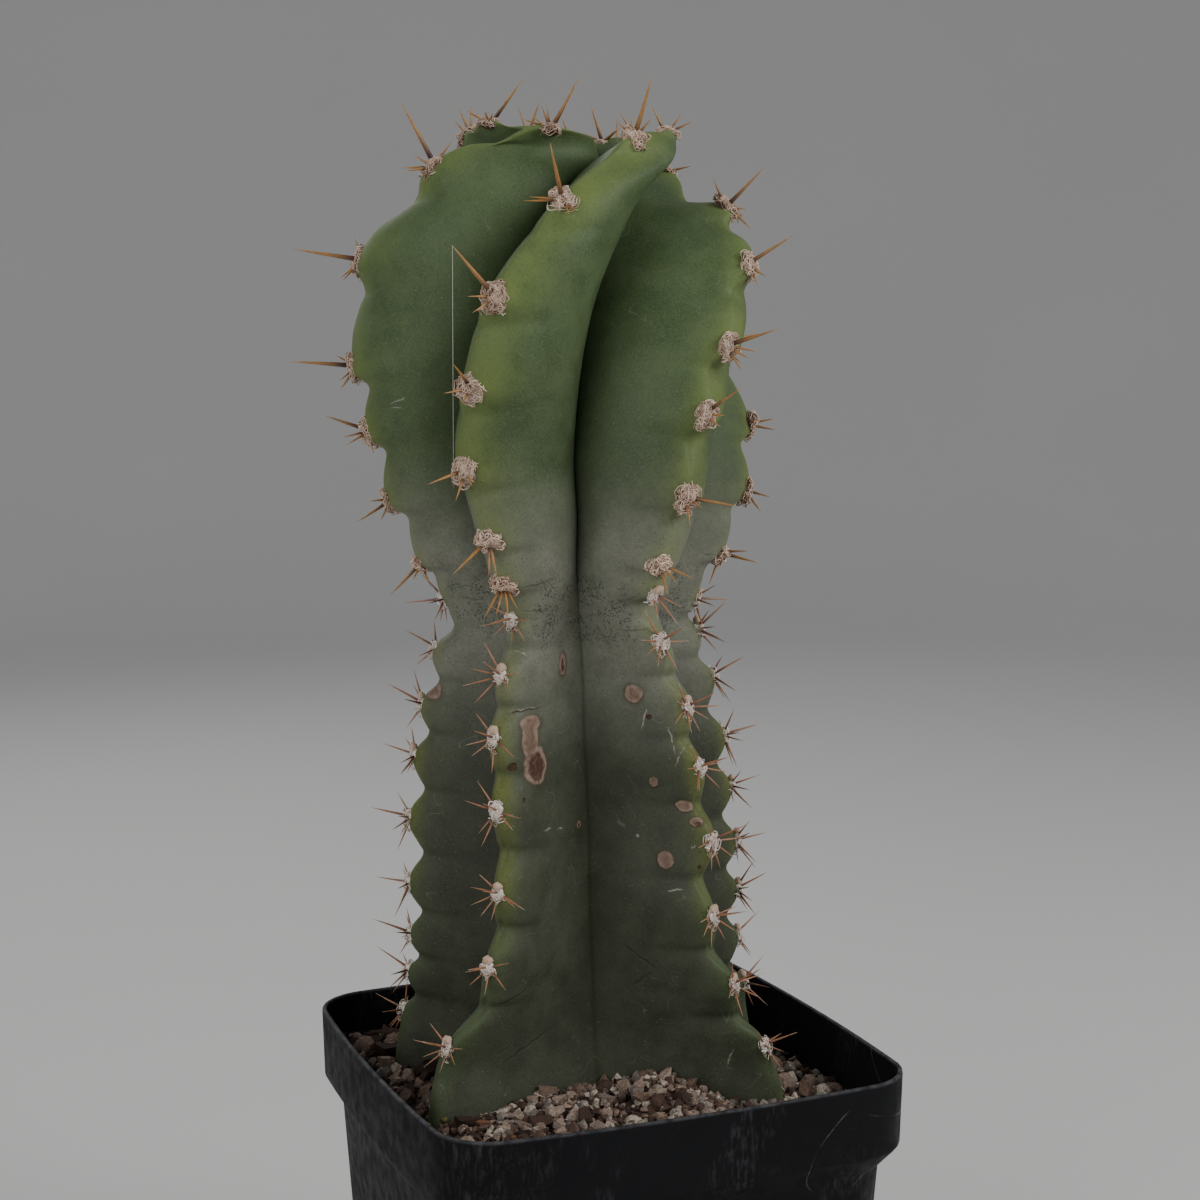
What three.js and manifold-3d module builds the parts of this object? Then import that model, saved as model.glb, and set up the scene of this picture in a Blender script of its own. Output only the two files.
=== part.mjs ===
import * as THREE from 'three';
import { mergeVertices } from 'three/addons/utils/BufferGeometryUtils.js';
import Module from 'manifold-3d';

const wasm = await Module();
wasm.setup();

// Driving dimensions, in millimetres. The origin is the middle of the pot's underside.
const POT_WIDTH = 100;
const POT_HEIGHT = 95;
const WALL = 1;
const FLOOR = 1.4;
const COLLAR_HEIGHT = 15;
const COLLAR_STEP = 3.2;
const STEP_HEIGHT = 4.5;
const BASE_WIDTH = 83;
const CORNER_RADIUS = 12.5;
const SIDE_BOW = 1.3;
const DRAIN_RADIUS = 4;
const DRAIN_SPACING = 52;
const GAP = 0.35;

// Grit bed. Levels are measured from the rim, upwards. Two low hills lie in front of the plant,
// and the grit is lower in the right-hand corner.
const GRIT_LEVEL = -9.5;
const HEAPS = [
  { x: -16, y: -20, width: 22, depth: 20, height: 4 },
  { x: 5, y: -22, width: 9, depth: 14, height: 4.5 },
];
const CORNER_DIP = 4;
const GRIT_RELIEF = 1.1;
const GRIT_STEP = 5;
const STONE_COUNT = 46;
const STONE_SIZES = [2.2, 4];

// The plant stands turned in its square pot. Its own frame has the front furrow towards -Y
// and its heights measured from the rim.
const PLANT_TURN = THREE.MathUtils.degToRad(-22.5);

// Cross-sections of the stem from the buried foot to the apex. Each row holds the crest radius
// and height, the furrow radius and height, how broadly the crest rounds on its left and right,
// how full the left and right flanks are, the sideways lean, the share of the crown lift, and
// the azimuths of the five ribs in degrees: front left, front right, right, back and left.
const SECTIONS = [
  [30.0, -30, 11.0, -30, 4.5, 5.5, 0.50, 0.52, -3.0, 0.0, -45, 74, 122, 188, 254],
  [39.0, -22, 13.0, -22, 4.5, 5.5, 0.50, 0.52, -3.0, 0.0, -45, 74, 122, 188, 254],
  [43.0, -10, 14.0, -10, 4.5, 5.5, 0.50, 0.52, -3.0, 0.0, -45, 73, 122, 188, 254],
  [40.0, 4, 13.0, 4, 4.0, 5.5, 0.50, 0.52, -3.5, 0.0, -44, 67, 118, 186, 254],
  [36.5, 18, 12.5, 18, 3.5, 5.5, 0.50, 0.52, -4.0, 0.0, -32, 57, 112, 184, 262],
  [35.3, 34, 12.5, 34, 3.5, 5.5, 0.50, 0.52, -4.5, 0.0, -26, 49, 106, 182, 269],
  [34.5, 50, 12.0, 50, 3.5, 5.5, 0.50, 0.52, -5.0, 0.0, -25, 52, 106, 182, 268],
  [32.5, 66, 13.0, 66, 3.5, 5.5, 0.50, 0.52, -5.3, 0.0, -28, 48, 106, 182, 266],
  [29.5, 80, 13.5, 80, 3.5, 5.5, 0.50, 0.52, -5.4, 0.0, -28, 46, 106, 180, 270],
  [26.5, 91, 14.5, 91, 3.5, 5.5, 0.50, 0.52, -5.4, 0.0, -26, 37, 108, 178, 264],
  [31.5, 101, 17.0, 101, 3.0, 6, 0.50, 0.52, -5.5, 0.0, -26, 33, 104, 176, 272],
  [36.5, 112, 19.0, 112, 3.5, 8, 0.45, 0.50, -6.0, 0.0, -27, 37, 99, 176, 276],
  [39.5, 124, 20.0, 124, 3.5, 9, 0.42, 0.55, -6.8, 0.0, -29, 40, 102, 180, 277],
  [42.0, 140, 19.0, 140, 4.0, 11, 0.40, 0.62, -7.8, 0.0, -22, 47, 119, 192, 276],
  [42.3, 154, 17.0, 153, 4.0, 12, 0.40, 0.66, -8.4, 0.0, -15, 60, 136, 204, 268],
  [39.3, 166, 14.5, 163, 3.5, 13, 0.34, 0.70, -8.0, 0.0, -5, 73, 148, 214, 272],
  [33.3, 175, 12.0, 170, 2.5, 13, 0.24, 0.76, -7.5, 0.3, 6, 86, 160, 222, 280],
  [27.5, 181.5, 9.5, 176, 2.0, 14, 0.20, 0.88, -7.0, 1.0, 21, 98, 172, 230, 290],
  [24.5, 185.5, 8.0, 179, 2.0, 11, 0.20, 0.84, -6.5, 1.0, 36, 112, 184, 237, 301],
  [22.0, 187.3, 6.5, 181, 2.0, 7, 0.20, 0.72, -6.0, 0.9, 63, 127, 198, 250, 314],
  [16.5, 188.0, 4.8, 182, 2.0, 4.5, 0.25, 0.50, -5.0, 0.7, 92, 152, 222, 275, 336],
  [9.0, 187.2, 3.0, 184, 2.5, 3, 0.40, 0.40, -4.5, 0.3, 122, 184, 252, 308, 366],
  [3.0, 186.2, 1.2, 185.2, 1.0, 1, 0.40, 0.40, -4.0, 0.0, 156, 222, 290, 350, 400],
];
const FOOT = [-3, 0, -30];
const APEX = [-4, 0, 186];
const CROWN_LIFT = [0, -5.5, -2, 3, -0.7];

// How much slimmer each rib is over the crown, or fuller where it is below 0, and how deep its
// young folds are.
const CROWN_SLIM = [-0.3, 0.4, 0.4, 0.4, 0.45];
const RIB_FOLD = [0.4, 1, 1, 1, 1];

// How far the furrow on the right of each rib lies towards the next rib, over the crown.
const FURROW_LEAN = [0, 0, 0, 0, 0.3];
const CROWN_CHANGE = [125, 160];

// Areoles of each rib, by their level on the crest: the height above the rim, and over the
// crown the distance run inwards from CROWN_RADIUS as well.
const CROWN_RADIUS = 24;
const AREOLES = [
  [7, 24, 39, 55, 69, 81, 92, 99, 108, 121.5, 137, 154, 172, 185, 192.5, 199, 204],
  [3, 17, 32, 47, 62, 74, 87, 97, 102.5, 116, 132, 145, 161, 175, 188, 195, 202],
  [6, 18, 29, 40, 52, 63, 76, 86, 92.5, 102, 115.5, 129, 146, 163, 178, 190, 199],
  [4, 13, 25, 38, 51, 64, 77, 88, 95, 106, 121, 136, 152, 169, 186, 195, 203],
  [2, 12, 21, 33, 47, 60, 71, 83, 93, 101, 114, 128, 141, 163, 181.5, 197],
];
const PINCH_LEVEL = 95;
const CROWN_LEVEL = 150;
const CREST_TOP = 174;
const FOLD_DEPTH = { old: 2.3, young: 2.4, crown: 2.8, apex: 1.5 };
const FOLD_PLACE = { old: 0.52, young: 0.74, crown: 0.5, apex: 0.35 };
const FOLD_SPACING = 13;
const FOLD_RADIUS = 15;
const FOLD_FADE = 0.85;

const STEM_ROWS = 66;
const FLANK_STEPS = [0, 0.2, 0.55];

// Wool pad and spines of an areole, on the older lower stem and on the younger upper stem. The
// tilt of a spine is measured from straight out, and its turn from straight up, clockwise.
const OLD_AREOLE = {
  Form: THREE.OctahedronGeometry,
  pad: [1.8, 2.2, 1.5],
  spines: [
    { tilt: 15, turn: 0, length: 8, thickness: 0.8 },
    { tilt: 60, turn: 70, length: 6.5, thickness: 0.7 },
    { tilt: 55, turn: 180, length: 7, thickness: 0.7 },
    { tilt: 60, turn: -70, length: 6.5, thickness: 0.7 },
  ],
};
const YOUNG_AREOLE = {
  Form: THREE.IcosahedronGeometry,
  pad: [2.6, 3, 2],
  spines: [
    { tilt: 25, turn: 0, length: 13, thickness: 1.1 },
    { tilt: 60, turn: 110, length: 6, thickness: 0.8 },
    { tilt: 50, turn: 180, length: 5, thickness: 0.8 },
    { tilt: 60, turn: -110, length: 6, thickness: 0.8 },
  ],
};
const YOUNG_LEVEL = 97;
const APEX_LEVEL = 187;
const PAD_SEAT = 0.3;

function random(seed) {
  let state = seed;
  return () => {
    state = (state * 1664525 + 1013904223) % 4294967296;
    return state / 4294967296;
  };
}

function toSolid(geometry) {
  geometry.deleteAttribute('normal');
  geometry.deleteAttribute('uv');
  const merged = mergeVertices(geometry, 1e-5);
  return new wasm.Manifold(new wasm.Mesh({
    numProp: 3,
    vertProperties: new Float32Array(merged.attributes.position.array),
    triVerts: new Uint32Array(merged.index.array),
  }));
}

function toGeometry(solid) {
  const mesh = solid.getMesh();
  const geometry = new THREE.BufferGeometry();
  geometry.setAttribute('position', new THREE.BufferAttribute(mesh.vertProperties, 3));
  geometry.setIndex(new THREE.BufferAttribute(mesh.triVerts, 1));
  geometry.computeVertexNormals();
  return geometry;
}

function largestPiece(solid) {
  const pieces = solid.decompose();
  return pieces.reduce((best, piece) => (piece.volume() > best.volume() ? piece : best));
}

// Closed skin over rings of points, all of one count, with a fan over each end.
function loft(rings, start, end) {
  const count = rings[0].length;
  const points = [...rings.flat(), start, end];
  const index = [];
  for (let row = 0; row < rings.length - 1; row += 1) {
    for (let i = 0; i < count; i += 1) {
      const next = (i + 1) % count;
      const a = row * count + i;
      const b = row * count + next;
      index.push(a, b, b + count, a, b + count, a + count);
    }
  }
  const top = (rings.length - 1) * count;
  for (let i = 0; i < count; i += 1) {
    const next = (i + 1) % count;
    index.push(points.length - 2, next, i);
    index.push(points.length - 1, top + i, top + next);
  }
  const geometry = new THREE.BufferGeometry();
  geometry.setAttribute('position', new THREE.Float32BufferAttribute(points.flat(), 3));
  geometry.setIndex(index);
  return geometry;
}

// Square with rounded corners and slightly bowed sides, counter-clockwise from above.
function roundedSquare(half, radius, bow, z) {
  const sideSteps = 4;
  const cornerSteps = 5;
  const straight = half - radius;
  const quarter = [];
  for (let i = 0; i < sideSteps; i += 1) {
    const y = straight * (-1 + (2 * i) / sideSteps);
    quarter.push([half + bow * (1 - (y / straight) ** 2), y]);
  }
  for (let i = 0; i < cornerSteps; i += 1) {
    const angle = (i / cornerSteps) * (Math.PI / 2);
    quarter.push([straight + radius * Math.cos(angle), straight + radius * Math.sin(angle)]);
  }
  const ring = [];
  for (let side = 0; side < 4; side += 1) {
    const turn = (side * Math.PI) / 2;
    for (const [x, y] of quarter) {
      ring.push([x * Math.cos(turn) - y * Math.sin(turn), x * Math.sin(turn) + y * Math.cos(turn), z]);
    }
  }
  return ring;
}

// Outline of the pot at a height, moved inwards by an inset.
const COLLAR_FOOT = POT_HEIGHT - COLLAR_HEIGHT;
const STEP_FOOT = COLLAR_FOOT - STEP_HEIGHT;
function potRing(height, half, inset) {
  const share = height / POT_HEIGHT;
  const radius = CORNER_RADIUS - 2.5 * (1 - share);
  return roundedSquare(half - inset, radius - inset, SIDE_BOW * (0.4 + 0.6 * share), height);
}

const RIM_HALF = POT_WIDTH / 2;
const BASE_HALF = BASE_WIDTH / 2;
const COLLAR_HALF = RIM_HALF - 0.4;
const BODY_HALF = COLLAR_HALF - COLLAR_STEP;
const BASE_CHAMFER = 1.2;

function potSolid() {
  const rings = [
    potRing(0, BASE_HALF - BASE_CHAMFER, 0),
    potRing(BASE_CHAMFER, BASE_HALF, 0),
    potRing(STEP_FOOT, BODY_HALF, 0),
    potRing(COLLAR_FOOT, COLLAR_HALF, 0),
    potRing(POT_HEIGHT, RIM_HALF, 0),
    potRing(POT_HEIGHT, RIM_HALF, WALL),
    potRing(COLLAR_FOOT + 0.3, COLLAR_HALF, WALL),
    potRing(STEP_FOOT + 0.3, BODY_HALF, WALL),
    potRing(FLOOR, BASE_HALF, WALL),
  ];
  let solid = toSolid(loft(rings, [0, 0, 0], [0, 0, FLOOR]));
  const hole = new THREE.CylinderGeometry(DRAIN_RADIUS, DRAIN_RADIUS, 4 * FLOOR, 16);
  hole.rotateX(Math.PI / 2);
  for (let i = 0; i < 8; i += 1) {
    const angle = (i * Math.PI) / 4;
    const reach = (DRAIN_SPACING / 2) * (i % 2 ? Math.SQRT2 : 1);
    const drain = hole.clone().translate(reach * Math.cos(angle), reach * Math.sin(angle), 0);
    solid = solid.subtract(toSolid(drain));
  }
  return solid;
}

// Stem surface. A place on it is a section number u, a rib, a side of its crest and the share
// across that flank, from 0 on the crest to 1 in the furrow.
function sectionAt(u) {
  const last = SECTIONS.length - 1;
  const row = Math.min(Math.floor(u), last - 1);
  const t = u - row;
  const pick = (i) => SECTIONS[Math.min(Math.max(i, 0), last)];
  const [a, b, c, d] = [pick(row - 1), pick(row), pick(row + 1), pick(row + 2)];
  return b.map((_, i) => 0.5 * (2 * b[i] + (c[i] - a[i]) * t
    + (2 * a[i] - 5 * b[i] + 4 * c[i] - d[i]) * t * t
    + (3 * b[i] - a[i] - 3 * c[i] + d[i]) * t * t * t));
}

function crestLevel(u) {
  const [radius, height] = sectionAt(u);
  return height + Math.max(0, CROWN_RADIUS - radius);
}

function sectionOfLevel(level) {
  let low = 0;
  let high = SECTIONS.length - 1;
  for (let i = 0; i < 30; i += 1) {
    const middle = (low + high) / 2;
    if (crestLevel(middle) < level) low = middle;
    else high = middle;
  }
  return low;
}

// Depth of the fold that crosses a crest between two areoles, close under the upper one.
function foldDepth(rib, level) {
  const places = AREOLES[rib];
  const index = places.findIndex((place) => place > level);
  if (index < 1) return 0;
  const [below, above] = [places[index - 1], places[index]];
  const spacing = above - below;
  const share = (level - below) / spacing;
  let place = above > PINCH_LEVEL ? FOLD_PLACE.young : FOLD_PLACE.old;
  if (below > CREST_TOP) place = FOLD_PLACE.crown;
  if (below > APEX_LEVEL) place = FOLD_PLACE.apex;
  const phase = share < place ? share / (2 * place) : 0.5 + (share - place) / (2 * (1 - place));
  let depth = above > PINCH_LEVEL ? FOLD_DEPTH.young : FOLD_DEPTH.old;
  if (below > CROWN_LEVEL) depth = FOLD_DEPTH.crown;
  if (below > APEX_LEVEL) depth = FOLD_DEPTH.apex;
  if (above > PINCH_LEVEL) depth *= RIB_FOLD[rib];
  depth *= THREE.MathUtils.clamp(spacing / FOLD_SPACING, 0.5, 1.1);
  return depth * (0.5 - 0.5 * Math.cos(2 * Math.PI * phase)) ** 1.6;
}

const UP = new THREE.Vector3(0, 0, 1);
const outward = (angle) => new THREE.Vector3(Math.sin(angle), -Math.cos(angle), 0);
const sideways = (angle) => new THREE.Vector3(Math.cos(angle), Math.sin(angle), 0);

// Direction into the flesh, square to the crest's line.
function inwardAt(u, angle) {
  const ahead = sectionAt(Math.min(u + 0.05, SECTIONS.length - 1));
  const behind = sectionAt(Math.max(u - 0.05, 0));
  const rise = new THREE.Vector2(ahead[0] - behind[0], ahead[1] - behind[1]).normalize();
  return outward(angle).multiplyScalar(-rise.y).addScaledVector(UP, rise.x);
}

function neighbourAzimuth(azimuths, rib, side) {
  const turns = Math.floor((rib + side) / azimuths.length);
  return azimuths[rib + side - turns * azimuths.length] + 360 * turns;
}

// A flank is a curve from the crest to the furrow. Below the pinch both flanks are almost flat.
// Above it the left flank is drawn towards its crest, and the right one bulges over the furrow.
const FLANK_PULL = { old: 0.9, left: 0.45, right: 0.12 };
const FLANK_CHANGE = [PINCH_LEVEL - 10, PINCH_LEVEL + 8];
function flankPull(height, side) {
  const young = THREE.MathUtils.smoothstep(height, ...FLANK_CHANGE);
  return THREE.MathUtils.lerp(FLANK_PULL.old, side < 0 ? FLANK_PULL.left : FLANK_PULL.right, young);
}

function stemPoint(u, rib, side, share) {
  const [
    crestRadius, crestHeight, furrowRadius, furrowHeight,
    roundLeft, roundRight, fullLeft, fullRight, lean, lift, ...azimuths
  ] = sectionAt(u);
  const crestAngle = THREE.MathUtils.degToRad(azimuths[rib]);
  const beside = THREE.MathUtils.degToRad(neighbourAzimuth(azimuths, rib, side));
  const leftRib = side > 0 ? rib : (rib + AREOLES.length - 1) % AREOLES.length;
  const toward = FURROW_LEAN[leftRib] * THREE.MathUtils.smoothstep(crestHeight, ...CROWN_CHANGE);
  const furrowAngle = THREE.MathUtils.lerp(crestAngle, beside, 0.5 + side * toward);
  const height = crestHeight + CROWN_LIFT[rib] * lift;
  const inward = inwardAt(u, crestAngle);
  const fold = foldDepth(rib, crestLevel(u)) * Math.min(1, crestRadius / FOLD_RADIUS);

  const crest = outward(crestAngle).multiplyScalar(crestRadius).addScaledVector(UP, height);
  crest.addScaledVector(inward, fold);
  const slim = 1 - CROWN_SLIM[rib] * lift;
  const round = slim * (side < 0 ? roundLeft : roundRight);
  const shoulder = crest.clone().addScaledVector(sideways(crestAngle), side * round);
  shoulder.addScaledVector(inward, -FOLD_FADE * fold);
  const furrow = outward(furrowAngle).multiplyScalar(furrowRadius).addScaledVector(UP, furrowHeight);
  const spread = outward(furrowAngle).multiplyScalar(crestRadius - furrowRadius);
  spread.addScaledVector(UP, height - furrowHeight);
  spread.lerp(crest.clone().sub(furrow), flankPull(height, side));
  const full = slim * (side < 0 ? fullLeft : fullRight);
  const belly = furrow.clone().addScaledVector(spread, full);
  const point = new THREE.CubicBezierCurve3(crest, shoulder, belly, furrow).getPoint(share);
  point.x += lean;
  return point;
}

function stemRing(u) {
  const ring = [];
  for (let rib = 0; rib < AREOLES.length; rib += 1) {
    ring.push(stemPoint(u, rib, -1, 1));
    for (const share of FLANK_STEPS.slice(1).reverse()) ring.push(stemPoint(u, rib, -1, share));
    for (const share of FLANK_STEPS) ring.push(stemPoint(u, rib, 1, share));
  }
  return ring.map((point) => point.toArray());
}

// The rows are spaced evenly by level, so that each fold is met by three or four of them.
function stemGeometry() {
  const lowest = crestLevel(0);
  const highest = crestLevel(SECTIONS.length - 1);
  const rings = [];
  for (let row = 0; row <= STEM_ROWS; row += 1) {
    const level = lowest + ((highest - lowest) * row) / STEM_ROWS;
    rings.push(stemRing(sectionOfLevel(level)));
  }
  return loft(rings, FOOT, APEX);
}

// Wool pad with its spines, facing +Z with its upper side towards +Y. Each spine is a three-sided
// pyramid that grows from the facet of the pad that faces its way best.
function areoleGeometry(kind, size) {
  const pad = new kind.Form(size, 0).scale(...kind.pad);
  const corners = pad.attributes.position;
  const bare = [];
  const grown = [];
  for (let i = 0; i < corners.count; i += 3) {
    bare.push([0, 1, 2].map((j) => new THREE.Vector3().fromBufferAttribute(corners, i + j)));
  }
  for (const { tilt, turn, length, thickness } of kind.spines) {
    const around = THREE.MathUtils.degToRad(turn);
    const direction = new THREE.Vector3(Math.sin(around), Math.cos(around), 0);
    direction.lerp(new THREE.Vector3(0, 0, 1), 1 - tilt / 90).normalize();
    const facing = (facet) => new THREE.Triangle(...facet).getNormal(new THREE.Vector3()).dot(direction);
    bare.sort((one, other) => facing(other) - facing(one));
    const [a, b, c] = bare.shift();
    const middle = a.clone().add(b).add(c).divideScalar(3);
    const share = thickness / a.distanceTo(b);
    const [d, e, f] = [a, b, c].map((corner) => middle.clone().lerp(corner, share));
    const tip = middle.clone().addScaledVector(direction, length * size);
    grown.push([a, b, e], [a, e, d], [b, c, f], [b, f, e], [c, a, d], [c, d, f]);
    grown.push([d, e, tip], [e, f, tip], [f, d, tip]);
  }
  return new THREE.BufferGeometry().setFromPoints([...bare, ...grown].flat());
}

// Place and directions of an areole: out of the crest, up along it and to its right.
function areoleFrame(rib, level) {
  const u = sectionOfLevel(level);
  const step = 0.1;
  const place = stemPoint(u, rib, 1, 0);
  const up = stemPoint(u + step, rib, 1, 0).sub(stemPoint(u - step, rib, 1, 0)).normalize();
  const right = stemPoint(u, rib, 1, 0.02).sub(place).normalize();
  const out = right.clone().cross(up).normalize();
  return { place, out, up: out.clone().cross(right).normalize(), right };
}

function areoleSolid(rib, level) {
  const { place, out, up, right } = areoleFrame(rib, level);
  const kind = level < YOUNG_LEVEL ? OLD_AREOLE : YOUNG_AREOLE;
  const size = 1 - THREE.MathUtils.clamp((level - APEX_LEVEL) / 40, 0, 0.4);
  const centre = place.addScaledVector(out, PAD_SEAT);
  const placing = new THREE.Matrix4().makeBasis(right, up, out).setPosition(centre);
  return toSolid(areoleGeometry(kind, size).applyMatrix4(placing));
}

function stemSolid() {
  const pieces = [toSolid(stemGeometry())];
  AREOLES.forEach((levels, rib) => {
    for (const level of levels) pieces.push(areoleSolid(rib, level));
  });
  return largestPiece(pieces.reduce((whole, piece) => whole.add(piece)));
}

// Hole in the grit: the stem's own skin, moved outwards by the gap.
function plantedHole() {
  const geometry = stemGeometry();
  geometry.computeVertexNormals();
  const place = geometry.attributes.position;
  const normal = geometry.attributes.normal;
  for (let i = 0; i < place.count; i += 1) {
    place.setXYZ(
      i,
      place.getX(i) + GAP * normal.getX(i),
      place.getY(i) + GAP * normal.getY(i),
      place.getZ(i) + GAP * normal.getZ(i),
    );
  }
  return toSolid(geometry.applyMatrix4(plant.matrixWorld));
}

function gritLevel(x, y) {
  let heap = 0;
  for (const { x: heapX, y: heapY, width, depth, height } of HEAPS) {
    heap += height * Math.exp(-(((x - heapX) / width) ** 2) - ((y - heapY) / depth) ** 2);
  }
  const dip = CORNER_DIP * THREE.MathUtils.smoothstep((x + 0.4 * y) / RIM_HALF, 0.1, 1.2);
  return POT_HEIGHT + GRIT_LEVEL + heap - dip;
}

function gritSolid() {
  const draw = random(11);
  const reach = RIM_HALF + 2;
  const cells = Math.round((2 * reach) / GRIT_STEP);
  const bottom = FLOOR + GAP;
  const bed = new THREE.BoxGeometry(2 * reach, 2 * reach, 1, cells, cells, 1);
  const merged = mergeVertices(bed.deleteAttribute('normal').deleteAttribute('uv'), 1e-5);
  const place = merged.attributes.position;
  for (let i = 0; i < place.count; i += 1) {
    const [x, y] = [place.getX(i), place.getY(i)];
    if (place.getZ(i) < 0) {
      place.setZ(i, bottom);
    } else {
      const rough = GRIT_RELIEF * (2 * draw() - 1);
      place.setZ(i, gritLevel(x, y) + rough);
    }
  }
  let solid = toSolid(merged);
  for (let i = 0; i < STONE_COUNT; i += 1) {
    const size = THREE.MathUtils.lerp(STONE_SIZES[0], STONE_SIZES[1], draw() ** 2);
    const stone = new THREE.IcosahedronGeometry(size, 0);
    stone.scale(1, 0.6 + 0.4 * draw(), 0.5 + 0.3 * draw());
    stone.rotateX(0.6 * draw());
    stone.rotateZ(2 * Math.PI * draw());
    const x = (2 * draw() - 1) * (RIM_HALF - 6);
    const y = (2 * draw() - 1) * (RIM_HALF - 6);
    stone.translate(x, y, gritLevel(x, y) + 0.2 * size);
    solid = solid.add(toSolid(stone));
  }
  const inside = WALL + GAP;
  const room = [
    potRing(bottom - 1, BASE_HALF, inside),
    potRing(STEP_FOOT, BODY_HALF, inside),
    potRing(COLLAR_FOOT, COLLAR_HALF - 0.3, inside),
    potRing(POT_HEIGHT - 0.5, RIM_HALF - 0.3, inside),
  ];
  solid = solid.intersect(toSolid(loft(room, [0, 0, bottom - 1], [0, 0, POT_HEIGHT - 0.5])));
  return largestPiece(solid.subtract(plantedHole()));
}

function piece(name, solid, color, roughness) {
  const material = new THREE.MeshStandardMaterial({ color, roughness, metalness: 0 });
  const mesh = new THREE.Mesh(toGeometry(solid), material);
  mesh.name = name;
  return mesh;
}

const plant = new THREE.Group();
plant.rotation.z = PLANT_TURN;
plant.position.z = POT_HEIGHT;
plant.updateMatrixWorld();
plant.add(piece('stem', stemSolid(), '#5f7d58', 0.6));

const cactus = new THREE.Group();
cactus.add(piece('pot', potSolid(), '#26262b', 0.5));
cactus.add(piece('grit', gritSolid(), '#8d7466', 0.95));
cactus.add(plant);

export default cactus;
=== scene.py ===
"""Potted spiral cactus: a five-ribbed columnar cactus in a square nursery pot of gravelly mix."""
import math

import bpy
import numpy as np
from mathutils import Matrix, Vector, noise


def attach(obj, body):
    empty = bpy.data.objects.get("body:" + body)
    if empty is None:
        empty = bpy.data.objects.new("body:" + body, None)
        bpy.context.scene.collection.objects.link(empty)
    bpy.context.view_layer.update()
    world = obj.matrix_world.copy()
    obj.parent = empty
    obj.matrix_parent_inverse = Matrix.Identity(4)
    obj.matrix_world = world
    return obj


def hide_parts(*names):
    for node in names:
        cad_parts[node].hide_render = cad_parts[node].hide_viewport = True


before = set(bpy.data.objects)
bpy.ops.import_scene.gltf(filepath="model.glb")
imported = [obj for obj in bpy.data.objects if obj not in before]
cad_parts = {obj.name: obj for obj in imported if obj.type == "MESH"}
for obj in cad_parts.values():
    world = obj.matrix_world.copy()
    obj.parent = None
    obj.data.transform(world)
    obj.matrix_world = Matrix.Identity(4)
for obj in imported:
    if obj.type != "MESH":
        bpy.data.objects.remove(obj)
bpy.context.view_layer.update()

# Lengths are in millimetres until a mesh is placed. The plant's own frame has its front furrow
# towards -Y and its heights measured from the pot's rim.
MM = 0.001
POT_HEIGHT = 95.0
PLANT_TURN = math.radians(-22.5)

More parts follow.
